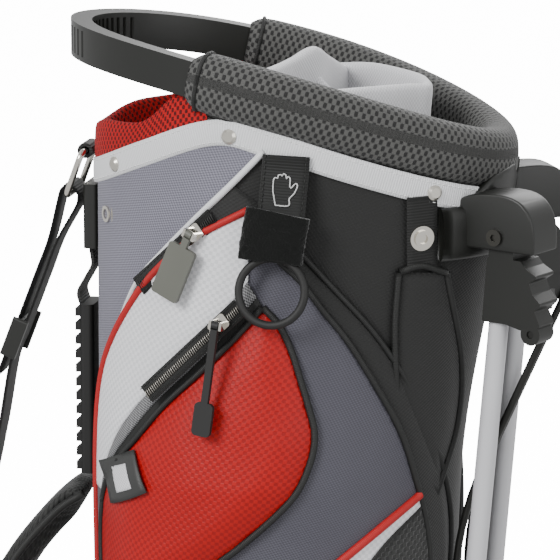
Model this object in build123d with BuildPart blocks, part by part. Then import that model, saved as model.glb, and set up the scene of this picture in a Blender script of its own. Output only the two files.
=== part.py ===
"""Golf stand bag: oval fabric bag with a rigid carry ring, pockets, strap and a spring-out pair of legs.

Frame: origin on the ground at the centre of the base, +Z up, +X towards the legs, -X towards the
carrying spine, -Y towards the bag's right side. Millimetres.
"""
from build123d import *
from math import cos, radians, sin, sqrt
import os

os.makedirs("parts", exist_ok=True)

# ---------------------------------------------------------------- overall sizes
BASE_LENGTH = 208.0          # oval base along X
BASE_WIDTH = 168.0           # oval base along Y
WAIST_LENGTH = 226.0         # oval along X where the throat starts to flare
WAIST_Z = 600.0
THROAT_LENGTH = 255.8        # oval along X at the throat
THROAT_WIDTH = 178.0
THROAT_Z = 820.0
WALL = 3.0                   # padded fabric wall
REACH = 260.0                # half depth of the tools that trim a piece in side view
SEAM = 0.3                   # clearance between soft pieces

# ---------------------------------------------------------------- carry ring and cuff
RING_X = 14.0                # centre of the ring's oval
RING_HALF_LENGTH = 127.5
RING_HALF_WIDTH = 84.0
RING_BACK_Z = 872.7          # ring centreline at the carrying spine
RING_SLOPE = 0.1168          # fall per millimetre at the spine
RING_CURVE = 0.000566        # extra fall, per square millimetre
RING_HEIGHT = 22.0
RING_THICKNESS = 13.0
CUFF_HEIGHT = 36.0
CUFF_THICKNESS = 26.0
CUFF_START_X = -28.0         # the bare handle lies behind this line
GROOVE_COUNT = 17
GROOVE_WIDTH = 2.2
GROOVE_DEPTH = 1.2
GROOVE_PITCH = 5.0

# ---------------------------------------------------------------- throat trim
BAND_HEIGHT = 15.0
BAND_THICKNESS = 2.2
BAND_LINE = [(-106, 789), (-60, 811), (-14, 828), (20, 822.5), (66, 808.5), (121, 790.5), (156, 779)]
THROAT_LINE = [(-106, 818), (-92, 826), (-62, 830), (-40, 848), (-24, 851)]
RIVET_RADIUS = 4.5
RIVET_X = [-80.0, -4.0, 112.0]

# ---------------------------------------------------------------- dividers
DIVIDER_THICKNESS = 3.0
REAR_DIVIDER_X = 10.0
FRONT_DIVIDER_X = 80.0
DIVIDER_BOTTOM_Z = 560.0
DIVIDER_BINDING = 5.0        # width of the webbing that binds a divider's top edge

# ---------------------------------------------------------------- base
BOOT_WALL = 3.0
BOOT_FLOOR = 6.0
BOOT_HEIGHT = 68.0
PAD_THICKNESS = 5.0
FOOT_HINGE_X = 25.0
FOOT_HINGE_Z = 6.0
FOOT_HINGE_RADIUS = 2.5
FOOT_BARREL_WALL = 2.5
FOOT_TONGUE_HALF_WIDTH = 30.0
FOOT_PLATE_THICKNESS = 5.0
FOOT_PLATE_HALF_WIDTH = 46.0
BOOT_RAKE = 17.0             # degrees the underside slopes, in front of the hinge
ROD_FOOT_X = 119.0
ROD_FOOT_Y = 20.0
ROD_FOOT_Z = 12.0

# ---------------------------------------------------------------- legs
PIVOT_X = 155.0
PIVOT_Y = 52.0
PIVOT_Z = 768.0
SPLAY = 25.0                 # degrees between the swing direction and +X
LEG_FOOT = (100.0, 62.0, 32.0)
TUBE_RADIUS = 6.0
TUBE_WALL = 1.2
PIVOT_SCREW_RADIUS = 3.0
PIVOT_CLEARANCE = 0.05
SLEEVE_HALF = 10.0           # half thickness of the leg's upper moulding
HOOK_OUT = 23.0              # rod hinge, outwards from the leg pivot
HOOK_DROP = 56.0
HOOK_RADIUS = 6.5
ROD_RADIUS = 2.25
ROD_CLEARANCE = 0.08
HOOD_WALL = 3.0
HOOD_CLEARANCE = 0.6

# ---------------------------------------------------------------- strap hardware
WEB_WIDTH = 25.0
WEB_THICKNESS = 2.0
WIRE_RADIUS = 2.0
FOLD_RISE = 16.0             # how far the webbing's fold is drawn above the ring's lower wire
FOLD_RADIUS = 5.0

# ---------------------------------------------------------------- soft goods and fittings
FLARE_STEPS = 7
STAY_RADIUS = 3.0
STAY_Y = 30.0
BRACKET_HALF_WIDTH = 54.0
BRACKET_LOW_Z = 752.0
BRACKET_HIGH_Z = 785.0
GARMENT_LOW_Z = 96.0
GARMENT_LINE = [(-99, 560), (-95, 640), (-80, 700), (-56, 734), (-24, 764), (12, 772), (40, 753),
                (62, 730), (83, 699), (98, 655), (104, 600)]
GARMENT_BULGE = [(GARMENT_LOW_Z, 8.0), (150.0, 24.0), (400.0, 28.0), (620.0, 20.0), (775.0, 5.0)]
VALUABLES_LINE = [(-88, 560), (-84, 598), (-58, 650), (-22, 700), (8, 729), (24, 714), (38, 680), (45, 640),
                  (43, 600), (36, 560)]
VALUABLES_LOW_Z = 400.0
VALUABLES_BULGE = [(VALUABLES_LOW_Z, 3.0), (440.0, 9.0), (620.0, 9.0), (735.0, 1.5)]
ZIP_HALF_WIDTH = 7.0
ZIP_RISE = 1.2               # how far the zip's flat run stands above the pocket at its middle
SLIDER_LENGTH = 13.0
SLIDER_WIDTH = 9.0
SLIDER_BASE = 1.5
PIN_HEIGHT = 4.5
SLIDER_GAP = 0.3
PULL_PIN_RADIUS = 1.2
ZIP_RUNS = {
    "main": {"x": -36.0, "z": 757.0, "toward": (-0.74, -0.67), "half": 34.0, "start": -16.0, "extra": 0.0,
             "pull_toward": (-0.39, -0.92), "pull_length": 41.0, "pull_width": 19.0},
    "inner": {"x": -24.0, "z": 700.0, "toward": (-0.72, -0.69), "half": 40.0, "start": -26.0, "extra": 8.0,
              "pull_toward": (-0.12, -0.99), "pull_length": 66.0, "pull_width": 12.0},
}
TAB_X = 25.0
TAB_TOP_Z = 820.5
TAB_LOW_Z = 758.0
TAB_WIDTH = 27.0
TAB_THICKNESS = 2.5
RING_LOOP_HALF = 5.4
GLOVE_RING_RADIUS = 19.5
GLOVE_RING_WIRE = 2.4
SLEEVE_LINE_LEFT = [(93, 747), (90, 705), (94, 654), (111, 604)]
SLEEVE_LINE_RIGHT = [(111, 604), (122, 645), (125, 690), (117, 742)]
SNAP_RADIUS = 7.5
SPINE_X = -BASE_LENGTH / 2
GRIP_RIBS = 12
LAYER_OFFSET = 2.6
BUCKLE_RUN = 38.0
BUCKLE_LENGTH = 26.0
RAIL_WIDTH = 3.5
PAD_PATH = [(SPINE_X - 3, 588), (-129, 574), (-157, 540), (-180, 494), (-196, 446), (-217, 420), (-238, 444),
            (-236, 480), (-220, 506)]


def smooth(t):
    """Smooth step from 0 to 1."""
    t = min(max(t, 0.0), 1.0)
    return t * t * (3 - 2 * t)


def half_length(z):
    """Half of the oval along X at a height."""
    taper = (WAIST_LENGTH - BASE_LENGTH) / 2 / WAIST_Z
    flare = (THROAT_LENGTH - BASE_LENGTH) / 2 - taper * THROAT_Z
    return BASE_LENGTH / 2 + taper * z + flare * smooth((z - WAIST_Z) / (THROAT_Z - WAIST_Z))


def half_width(z):
    """Half of the oval along Y at a height."""
    return (BASE_WIDTH + (THROAT_WIDTH - BASE_WIDTH) * z / THROAT_Z) / 2


def centre_x(z):
    """Centre of the oval: the spine side is upright, so the oval grows towards +X."""
    return half_length(z) - BASE_LENGTH / 2


def front_x(z, y=0.0):
    """Where the bag's +X side lies at a height and a distance from the middle plane."""
    return centre_x(z) + half_length(z) * sqrt(1 - (y / half_width(z)) ** 2)


def side_y(x, z):
    """How far the bag's side lies from the middle plane."""
    return half_width(z) * sqrt(max(0.0, 1 - ((x - centre_x(z)) / half_length(z)) ** 2))


def ring_z(x):
    """Height of the ring's centreline in side view."""
    s = x - (RING_X - RING_HALF_LENGTH)
    return RING_BACK_Z - RING_SLOPE * s - RING_CURVE * s * s


HEIGHTS = [WAIST_Z + (THROAT_Z - WAIST_Z) * i / FLARE_STEPS for i in range(FLARE_STEPS + 1)]


def oval_solid(z_from, z_to, grow, shift_y=0.0):
    """The bag's tapering oval as a solid, grown outwards, between two heights."""
    levels = [z_from] + [z for z in HEIGHTS if z_from + 5 < z < z_to - 5] + [z_to]
    with BuildPart() as oval:
        for z in levels:
            with BuildSketch(Plane.XY.offset(z)):
                with Locations((centre_x(z), shift_y)):
                    Ellipse(half_length(z) + grow, half_width(z) + grow)
        loft(ruled=True)
    return oval.part


def side_view(points, z_low, x_margin=0.0):
    """Everything below a curved line in side view, down to z_low, right across the bag."""
    first = (points[0][0] - x_margin, points[0][1])
    last = (points[-1][0] + x_margin, points[-1][1])
    with BuildPart() as zone:
        with BuildSketch(Plane.XZ):
            with BuildLine():
                Spline(*points)
                if x_margin:
                    Line(first, points[0])
                    Line(points[-1], last)
                Polyline(last, (last[0], z_low), (first[0], z_low), first)
            make_face()
        extrude(amount=REACH, both=True)
    return zone.part


def ring_zone(half_height, x_from, x_to):
    """The side-view strip that follows the ring's centreline."""
    xs = [x_from + (x_to - x_from) * i / 6 for i in range(7)]
    with BuildPart() as zone:
        with BuildSketch(Plane.XZ):
            with BuildLine():
                Spline(*[(x, ring_z(x) + half_height) for x in xs])
                Line((x_to, ring_z(x_to) + half_height), (x_to, ring_z(x_to) - half_height))
                Spline(*[(x, ring_z(x) - half_height) for x in reversed(xs)])
                Line((x_from, ring_z(x_from) - half_height), (x_from, ring_z(x_from) + half_height))
            make_face()
        extrude(amount=REACH, both=True)
    return zone.part


def ring_annulus(outer, inner):
    """Upright oval tube about the ring's centreline, between two offsets from it."""
    with BuildPart() as tube:
        with BuildSketch(Plane.XY.offset(730)):
            with Locations((RING_X, 0)):
                Ellipse(RING_HALF_LENGTH + outer, RING_HALF_WIDTH + outer)
                Ellipse(RING_HALF_LENGTH + inner, RING_HALF_WIDTH + inner, mode=Mode.SUBTRACT)
        extrude(amount=200)
    return tube.part


def shifted(points, dz):
    """The same side-view line, moved up."""
    return [(x, z + dz) for x, z in points]


# ================================================================= base
rake_run = REACH - FOOT_HINGE_X
rake_rise = rake_run * sin(radians(BOOT_RAKE)) / cos(radians(BOOT_RAKE))
rake_from = FOOT_HINGE_X - 9                     # the raked underside starts behind the hinge
rake_low = FOOT_PLATE_THICKNESS + 0.5            # it starts clear above the foot plate
ear_from = FOOT_TONGUE_HALF_WIDTH + 0.5
ear_to = ear_from + 9
barrel_radius = FOOT_HINGE_RADIUS + FOOT_BARREL_WALL


def below_rake(thickness):
    """Everything below the raked underside, lifted by a floor thickness."""
    with BuildPart() as wedge:
        with BuildSketch(Plane.XZ):
            with BuildLine():
                Polyline((rake_from - thickness, -20), (rake_from - thickness, rake_low + thickness),
                         (REACH, rake_low + thickness + rake_rise), (REACH, -20), close=True)
            make_face()
        extrude(amount=REACH, both=True)
    return wedge.part


with BuildPart() as boot_hollow:
    add(oval_solid(BOOT_FLOOR, BOOT_HEIGHT + 10, SEAM / 2))
    add(below_rake(BOOT_FLOOR), mode=Mode.SUBTRACT)

with BuildPart() as base_boot:
    add(oval_solid(0, BOOT_HEIGHT, BOOT_WALL))
    add(boot_hollow.part, mode=Mode.SUBTRACT)
    add(below_rake(0), mode=Mode.SUBTRACT)
    # ears for the hinge pin, then the space for the foot plate's barrel
    for side in (-1, 1):
        with Locations((FOOT_HINGE_X, side * (ear_from + ear_to) / 2, (1 + rake_low + 4) / 2)):
            Box(2 * barrel_radius, ear_to - ear_from, rake_low + 4 - 1)
    with BuildSketch(Plane.XZ):
        with Locations((FOOT_HINGE_X, FOOT_HINGE_Z)):
            Circle(barrel_radius + 0.5)
    extrude(amount=ear_from, both=True, mode=Mode.SUBTRACT)
    with BuildSketch(Plane.XZ):
        with Locations((FOOT_HINGE_X, FOOT_HINGE_Z)):
            Circle(FOOT_HINGE_RADIUS)
    extrude(amount=ear_to, both=True, mode=Mode.SUBTRACT)
    # channel in the front wall for the rods' feet
    with Locations((front_x(20) + 6, 0, BOOT_HEIGHT / 2)):
        Box(14, 2 * ROD_FOOT_Y + 16, BOOT_HEIGHT + 2, mode=Mode.SUBTRACT)
base_boot.part.label = "base_boot"
export_step(base_boot.part, "parts/base_boot.step")

# ================================================================= bag body
outer_skin = oval_solid(4, 860, 0)
inner_skin = oval_solid(BOOT_FLOOR, 880, -WALL)
below_band = side_view(BAND_LINE, -20, 30)

with BuildPart() as body_shell:
    add(outer_skin)
    add(inner_skin, mode=Mode.SUBTRACT)
    add(below_band, mode=Mode.INTERSECT)
    # the raked floor takes the shell's lower front corner off
    add(below_rake(BOOT_FLOOR), mode=Mode.SUBTRACT)
    with Locations((0, 0, BOOT_FLOOR / 2 - 20)):
        Box(2 * REACH, 2 * REACH, BOOT_FLOOR + 40, mode=Mode.SUBTRACT)
body_shell.part.label = "body_shell"
export_step(body_shell.part, "parts/body_shell.step")

# ================================================================= carry ring, handle and cuff
ring_half = RING_THICKNESS / 2
ring_front_x = RING_X + RING_HALF_LENGTH + 30
ring_back_x = RING_X - RING_HALF_LENGTH - 30
with BuildPart() as top_ring:
    add(ring_annulus(ring_half, -ring_half))
    add(ring_zone(RING_HEIGHT / 2, ring_back_x, ring_front_x), mode=Mode.INTERSECT)
    # finger grooves on the outer and inner faces of the bare handle
    for i in range(GROOVE_COUNT):
        along = (i - (GROOVE_COUNT - 1) / 2) * GROOVE_PITCH
        back = sqrt(1 - (along / RING_HALF_WIDTH) ** 2)
        for face, depth in ((ring_half, -GROOVE_DEPTH), (-ring_half, GROOVE_DEPTH)):
            x = RING_X - (RING_HALF_LENGTH + face) * back
            with Locations((x, along * (1 + face / RING_HALF_WIDTH), ring_z(x))):
                Box(2 * GROOVE_DEPTH, GROOVE_WIDTH, RING_HEIGHT - 6, mode=Mode.SUBTRACT)
top_ring.part.label = "top_ring"
export_step(top_ring.part, "parts/top_ring.step")

with BuildPart() as cuff_padding:
    add(ring_annulus(CUFF_THICKNESS / 2, -CUFF_THICKNESS / 2))
    add(ring_zone(CUFF_HEIGHT / 2, CUFF_START_X, ring_front_x), mode=Mode.INTERSECT)
    add(top_ring.part, mode=Mode.SUBTRACT)
cuff_padding.part.label = "cuff_padding"
export_step(cuff_padding.part, "parts/cuff_padding.step")

# what the throat trim keeps clear of: the ring and its cuff, with a seam's clearance
with BuildPart() as ring_clearance:
    add(ring_annulus(ring_half + SEAM, -ring_half - SEAM))
    add(ring_zone(RING_HEIGHT / 2 + SEAM, ring_back_x, ring_front_x), mode=Mode.INTERSECT)
with BuildPart() as cuff_clearance:
    add(ring_annulus(CUFF_THICKNESS / 2 + SEAM, -CUFF_THICKNESS / 2 - SEAM))
    add(ring_zone(CUFF_HEIGHT / 2 + SEAM, CUFF_START_X - SEAM, ring_front_x), mode=Mode.INTERSECT)

# ================================================================= throat trim
throat_top = side_view(THROAT_LINE, -20)
with BuildPart() as throat_wall:
    add(outer_skin)
    add(oval_solid(700, 880, -WALL), mode=Mode.SUBTRACT)
    add(throat_top, mode=Mode.INTERSECT)
    add(side_view(shifted(BAND_LINE, SEAM), -20, 30), mode=Mode.SUBTRACT)
    add(ring_clearance.part, mode=Mode.SUBTRACT)
    add(cuff_clearance.part, mode=Mode.SUBTRACT)
throat_wall.part.label = "throat_wall"
export_step(throat_wall.part, "parts/throat_wall.step")

band_zone_low = side_view(shifted(BAND_LINE, -BAND_HEIGHT / 2), -20, 30)
band_zone_high = side_view(shifted(BAND_LINE, BAND_HEIGHT / 2), -20, 30)
with BuildPart() as rim_band:
    add(oval_solid(740, 860, BAND_THICKNESS))
    add(oval_solid(730, 870, 0), mode=Mode.SUBTRACT)
    add(band_zone_high, mode=Mode.INTERSECT)
    add(band_zone_low, mode=Mode.SUBTRACT)
    add(cuff_clearance.part, mode=Mode.SUBTRACT)
rim_band.part.label = "rim_band"
export_step(rim_band.part, "parts/rim_band.step")


# domed rivets through the band, three on each side
with BuildPart() as rim_rivets:
    for x in RIVET_X:
        z = [b[1] + (x - b[0]) * (c[1] - b[1]) / (c[0] - b[0])
             for b, c in zip(BAND_LINE, BAND_LINE[1:]) if b[0] <= x < c[0]][0]
        for side in (-1, 1):
            y = side_y(x, z)
            skin = Vector(x, side * y, z)
            slope = ((x - centre_x(z)) / half_length(z) ** 2, side * y / half_width(z) ** 2)
            outward = Vector(slope[0], slope[1], 0).normalized()
            seat = Plane(origin=skin + outward * (BAND_THICKNESS - 0.4), z_dir=outward)
            with BuildSketch(seat):
                Circle(RIVET_RADIUS)
            extrude(amount=1.4)
            with BuildSketch(seat.offset(1.4)):
                Circle(RIVET_RADIUS)
            extrude(amount=1.2, taper=52)
rim_rivets.part.label = "rim_rivets"
export_step(rim_rivets.part, "parts/rim_rivets.step")

# ================================================================= dividers
inner_space = oval_solid(DIVIDER_BOTTOM_Z - 20, 880, -WALL - SEAM)
rear_top = [(-78, 842), (-62, 849), (-26, 846), (0, 869), (26, 846), (62, 849), (78, 842)]
front_top = [(-60, 826), (-44, 832), (0, 846), (44, 832), (60, 826)]


def cross_panel(x, top, low_drop):
    """Divider across the bag: a flat panel at x, whose outline is a curved top over a flat bottom.

    low_drop trims the panel from below the top line downwards, so 0 gives the whole panel.
    """
    with BuildPart() as panel:
        with BuildSketch(Plane.YZ.offset(x - DIVIDER_THICKNESS / 2)):
            with BuildLine():
                Spline(*shifted(top, -low_drop))
                Polyline((top[-1][0], top[-1][1] - low_drop), (top[-1][0], 815), (86, 800),
                         (86, DIVIDER_BOTTOM_Z), (-86, DIVIDER_BOTTOM_Z), (-86, 800),
                         (top[0][0], 815), (top[0][0], top[0][1] - low_drop))
            make_face()
        extrude(amount=DIVIDER_THICKNESS)
        add(inner_space, mode=Mode.INTERSECT)
        add(cuff_clearance.part, mode=Mode.SUBTRACT)
    return panel.part


with BuildPart() as divider_rear:
    add(cross_panel(REAR_DIVIDER_X, rear_top, DIVIDER_BINDING))
divider_rear.part.label = "divider_rear"
export_step(divider_rear.part, "parts/divider_rear.step")

with BuildPart() as divider_front:
    add(cross_panel(FRONT_DIVIDER_X, front_top, DIVIDER_BINDING))
divider_front.part.label = "divider_front"
export_step(divider_front.part, "parts/divider_front.step")

centre_from = REAR_DIVIDER_X + DIVIDER_THICKNESS / 2 + SEAM
centre_to = FRONT_DIVIDER_X - DIVIDER_THICKNESS / 2 - SEAM
centre_top = [(centre_from, 856), (28, 846), (55, 842), (centre_to, 838)]


def centre_panel(low_drop):
    """Divider along the bag, between the two cross panels."""
    with BuildPart() as panel:
        with BuildSketch(Plane.XZ.offset(-DIVIDER_THICKNESS / 2)):
            with BuildLine():
                Spline(*shifted(centre_top, -low_drop))
                Polyline((centre_to, centre_top[-1][1] - low_drop), (centre_to, DIVIDER_BOTTOM_Z),
                         (centre_from, DIVIDER_BOTTOM_Z), (centre_from, centre_top[0][1] - low_drop))
            make_face()
        extrude(amount=DIVIDER_THICKNESS)
    return panel.part


with BuildPart() as divider_centre:
    add(centre_panel(DIVIDER_BINDING))
divider_centre.part.label = "divider_centre"
export_step(divider_centre.part, "parts/divider_centre.step")

with BuildPart() as divider_bindings:
    for whole, panel in ((cross_panel(REAR_DIVIDER_X, rear_top, 0), divider_rear),
                         (cross_panel(FRONT_DIVIDER_X, front_top, 0), divider_front),
                         (centre_panel(0), divider_centre)):
        add(whole)
        add(panel.part, mode=Mode.SUBTRACT)
divider_bindings.part.label = "divider_bindings"
export_step(divider_bindings.part, "parts/divider_bindings.step")


# felt pad on the boot's floor, behind the rake
with BuildPart() as floor_pad:
    add(oval_solid(BOOT_FLOOR, BOOT_FLOOR + PAD_THICKNESS, -WALL - 1))
    with Locations((rake_from - BOOT_FLOOR - 1 - REACH / 2, 0, BOOT_FLOOR)):
        Box(REACH, REACH, 4 * PAD_THICKNESS, mode=Mode.INTERSECT)
floor_pad.part.label = "floor_pad"
export_step(floor_pad.part, "parts/floor_pad.step")

# two rods inside the spine keep the bag upright between the boot and the throat
with BuildPart() as spine_stays:
    for side in (-1, 1):
        lean = centre_x(400) - half_length(400) * sqrt(1 - (STAY_Y / half_width(400)) ** 2)
        stay_x = lean + WALL + STAY_RADIUS + 2
        with BuildSketch(Plane.XY.offset(BOOT_FLOOR + PAD_THICKNESS)):
            with Locations((stay_x, side * STAY_Y)):
                Circle(STAY_RADIUS)
        extrude(amount=760)
spine_stays.part.label = "spine_stays"
export_step(spine_stays.part, "parts/spine_stays.step")

# ================================================================= foot plate
foot_plate_from = FOOT_HINGE_X + barrel_radius + 2
foot_length = ROD_FOOT_X + 6 - foot_plate_from
with BuildPart() as foot_plate:
    # plate on the ground, rounded in plan to follow the boot, with a tongue back to its hinge
    with BuildSketch(Plane.XY):
        with Locations((foot_plate_from + foot_length / 2, 0)):
            RectangleRounded(foot_length, 2 * FOOT_PLATE_HALF_WIDTH, 16)
        with Locations((foot_plate_from, 0)):
            Rectangle(2 * barrel_radius + 4, 2 * FOOT_TONGUE_HALF_WIDTH)
    extrude(amount=FOOT_PLATE_THICKNESS)
    with BuildSketch(Plane.XZ):
        with Locations((FOOT_HINGE_X, FOOT_HINGE_Z)):
            Circle(barrel_radius)
    extrude(amount=FOOT_TONGUE_HALF_WIDTH, both=True)
    with BuildSketch(Plane.XZ):
        with Locations((FOOT_HINGE_X, FOOT_HINGE_Z)):
            Circle(FOOT_HINGE_RADIUS + PIVOT_CLEARANCE)
    extrude(amount=REACH, both=True, mode=Mode.SUBTRACT)
    # tunnel for the rods' feet: taller and wider than the rod, because the linkage is open here
    with Locations((ROD_FOOT_X, 0, (ROD_FOOT_Z + 9) / 2)):
        Box(12, 28, ROD_FOOT_Z + 9)
    with Locations((ROD_FOOT_X, 0, ROD_FOOT_Z - 0.9)):
        Box(2 * ROD_RADIUS + 3.2, 60, 2 * ROD_RADIUS + 4.2, mode=Mode.SUBTRACT)
foot_plate.part.label = "foot_plate"
export_step(foot_plate.part, "parts/foot_plate.step")

with BuildPart() as foot_hinge_pin:
    with BuildSketch(Plane.XZ):
        with Locations((FOOT_HINGE_X, FOOT_HINGE_Z)):
            Circle(FOOT_HINGE_RADIUS)
    extrude(amount=ear_to, both=True)
foot_hinge_pin.part.label = "foot_hinge_pin"
export_step(foot_hinge_pin.part, "parts/foot_hinge_pin.step")

# ================================================================= right leg, in the plane it swings in
splay_cos = cos(radians(SPLAY))
splay_sin = sin(radians(SPLAY))
pivot = Vector(PIVOT_X, -PIVOT_Y, PIVOT_Z)
swing_out = Vector(splay_cos, -splay_sin, 0)
swing_axis = Vector(-splay_sin, -splay_cos, 0)
swing = Plane(origin=pivot, x_dir=swing_out, z_dir=swing_axis)
leg_foot_centre = Vector(LEG_FOOT[0], -LEG_FOOT[1], LEG_FOOT[2])
leg_run = leg_foot_centre - pivot
leg_along = leg_run.normalized()
hook = pivot + swing_out * HOOK_OUT - Vector(0, 0, HOOK_DROP)

with BuildPart() as leg_sleeve_right:
    # finned moulding around the top of the tube
    with BuildSketch(swing):
        with BuildLine():
            Polyline((-7.5, -13), (15.5, -13), (19, -17), (27.5, -21.5), (21.5, -25.5), (24, -32),
                     (30, -37.5), (25.5, -42), (29.5, -50), (26, -55), (15, -54), (6, -52), (-10.5, -52),
                     close=True)
        make_face()
        fillet(vertices(), radius=1.3)
    extrude(amount=SLEEVE_HALF, both=True)
    # knuckle on the pivot screw
    with BuildSketch(swing):
        Circle(10.5)
        with Locations((2, -10)):
            Rectangle(17, 14)
    extrude(amount=SLEEVE_HALF, both=True)
    with BuildSketch(swing):
        Circle(PIVOT_SCREW_RADIUS + PIVOT_CLEARANCE)
    extrude(amount=40, both=True, mode=Mode.SUBTRACT)
    # barrel that holds the rod's bent end
    with BuildSketch(swing.offset(-6)):
        with Locations((HOOK_OUT, -HOOK_DROP)):
            Circle(HOOK_RADIUS)
    extrude(amount=16)
    with BuildSketch(swing.offset(-20)):
        with Locations((HOOK_OUT, -HOOK_DROP)):
            Circle(ROD_RADIUS + ROD_CLEARANCE)
    extrude(amount=40, mode=Mode.SUBTRACT)
    # socket of the leg tube
    with BuildSketch(Plane(origin=pivot + leg_along * 17, z_dir=leg_along)):
        Circle(TUBE_RADIUS)
    extrude(amount=80, mode=Mode.SUBTRACT)
    # relief on the inner side, where the rod comes away from its barrel
    with BuildSketch(swing.offset(-SLEEVE_HALF)):
        with Locations((HOOK_OUT + 2, -HOOK_DROP - 2)):
            Rectangle(24, 30)
    extrude(amount=4, mode=Mode.SUBTRACT)

with BuildPart() as leg_tube_right:
    with BuildSketch(Plane(origin=pivot + leg_along * 17, z_dir=leg_along)):
        Circle(TUBE_RADIUS)
        Circle(TUBE_RADIUS - TUBE_WALL, mode=Mode.SUBTRACT)
    extrude(amount=leg_run.length - 17)

with BuildPart() as leg_foot_right:
    with BuildSketch(Plane(origin=leg_foot_centre - leg_along * 30, z_dir=leg_along)):
        Circle(10)
    with BuildSketch(Plane(origin=leg_foot_centre + leg_along * 8, z_dir=leg_along)):
        Circle(13)
    with BuildSketch(Plane(origin=leg_foot_centre + leg_along * 24, z_dir=leg_along)):
        Circle(11)
    loft(ruled=True)
    with BuildSketch(Plane(origin=leg_foot_centre - leg_along * 31, z_dir=leg_along)):
        Circle(TUBE_RADIUS)
    extrude(amount=31, mode=Mode.SUBTRACT)

# spring rod: bent end in the barrel, down behind the tube, bent foot in the foot plate's tunnel
rod_inset = -8.8
rod_top = hook + swing_axis * rod_inset
rod_foot = Vector(ROD_FOOT_X, -ROD_FOOT_Y, ROD_FOOT_Z)
rod_knee = Vector(124, -29, 582)
with BuildPart() as rod_right:
    with BuildLine() as rod_path:
        FilletPolyline(hook + swing_axis * 9, rod_top, rod_knee, rod_foot,
                       rod_foot + Vector(0, ROD_FOOT_Y - 5, 0), radius=[2.6, 200, 4])
    with BuildSketch(Plane(origin=hook + swing_axis * 9, z_dir=swing_axis)):
        Circle(ROD_RADIUS)
    sweep(path=rod_path.line)

# ================================================================= both legs: the left one mirrors the right
for right_piece, name in ((leg_sleeve_right, "leg_sleeve"), (leg_tube_right, "leg_tube"),
                          (leg_foot_right, "leg_foot"), (rod_right, "rod")):
    right_piece.part.label = name + "_right"
    export_step(right_piece.part, f"parts/{name}_right.step")
    with BuildPart() as left_piece:
        mirror(right_piece.part, about=Plane.XZ)
    left_piece.part.label = name + "_left"
    export_step(left_piece.part, f"parts/{name}_left.step")

# ================================================================= leg bracket
hood_half = SLEEVE_HALF + HOOD_CLEARANCE + HOOD_WALL
with BuildPart() as leg_bracket:
    # saddle against the bag's front
    add(oval_solid(BRACKET_LOW_Z, BRACKET_HIGH_Z, 9))
    with Locations((PIVOT_X - 12, 0, PIVOT_Z)):
        Box(100, 2 * BRACKET_HALF_WIDTH, 100, mode=Mode.INTERSECT)
    # an arm and a hood for each leg
    for side in (-1, 1):
        plane = Plane(origin=(PIVOT_X, side * PIVOT_Y, PIVOT_Z),
                      x_dir=(splay_cos, side * splay_sin, 0), z_dir=(side * splay_sin, -splay_cos, 0))
        with BuildSketch(plane):
            with Locations((-5, 7.5)):
                RectangleRounded(60, 33, 8)
        extrude(amount=hood_half, both=True)
    # the hoods are hollow below their roofs, for the knuckles
    for side in (-1, 1):
        plane = Plane(origin=(PIVOT_X, side * PIVOT_Y, PIVOT_Z),
                      x_dir=(splay_cos, side * splay_sin, 0), z_dir=(side * splay_sin, -splay_cos, 0))
        with BuildSketch(plane):
            with Locations((13.5, -4)):
                Rectangle(51, 33)
        extrude(amount=SLEEVE_HALF + HOOD_CLEARANCE, both=True, mode=Mode.SUBTRACT)
        with BuildSketch(plane):
            Circle(PIVOT_SCREW_RADIUS)
        extrude(amount=REACH / 4, both=True, mode=Mode.SUBTRACT)
    add(oval_solid(700, 850, BAND_THICKNESS + SEAM), mode=Mode.SUBTRACT)
    add(cuff_clearance.part, mode=Mode.SUBTRACT)
leg_bracket.part.label = "leg_bracket"
export_step(leg_bracket.part, "parts/leg_bracket.step")

with BuildPart() as leg_pivot_screws:
    for side in (-1, 1):
        plane = Plane(origin=(PIVOT_X, side * PIVOT_Y, PIVOT_Z), z_dir=(-splay_sin, side * splay_cos, 0))
        with BuildSketch(plane.offset(-hood_half)):
            Circle(PIVOT_SCREW_RADIUS)
        extrude(amount=2 * hood_half)
        with BuildSketch(plane.offset(hood_half)):
            Circle(5)
        extrude(amount=2)
        with BuildSketch(plane.offset(hood_half + 2)):
            RegularPolygon(2.2, 6)
        extrude(amount=-1.4, mode=Mode.SUBTRACT)
leg_pivot_screws.part.label = "leg_pivot_screws"
export_step(leg_pivot_screws.part, "parts/leg_pivot_screws.step")

# ================================================================= pockets


def depth_at(levels, z):
    """Depth at a height, straight between the levels."""
    for (z0, d0), (z1, d1) in zip(levels, levels[1:]):
        if z0 <= z <= z1:
            return d0 + (d1 - d0) * (z - z0) / (z1 - z0)
    return 0.0


def bulge(depth, z_from, z_to, steps):
    """A half-moon cushion on the right side: the bag's oval, pushed out by a depth at each height."""
    levels = sorted({z_from, z_to, *steps, *[z for z in HEIGHTS if z_from < z < z_to]})
    with BuildPart() as cushion:
        for z in levels:
            with BuildSketch(Plane.XY.offset(z)):
                with Locations((centre_x(z), -depth(z))):
                    Ellipse(half_length(z), half_width(z) + 1)
        loft(ruled=True)
        add(oval_solid(z_from - 5, z_to + 5, SEAM), mode=Mode.SUBTRACT)
        with Locations((0, -REACH, (z_from + z_to) / 2)):
            Box(2 * REACH, 2 * REACH, 2 * (z_to - z_from), mode=Mode.INTERSECT)
    return cushion.part


def garment_depth(z):
    """How far the garment pocket stands out at a height."""
    return depth_at(GARMENT_BULGE, z)


def pocket_point(x, z, extra=0.0):
    """Point on the garment pocket's face, pushed out by an extra depth."""
    return Vector(x, -side_y(x, z) - 1 - garment_depth(z) - extra, z)


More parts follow.
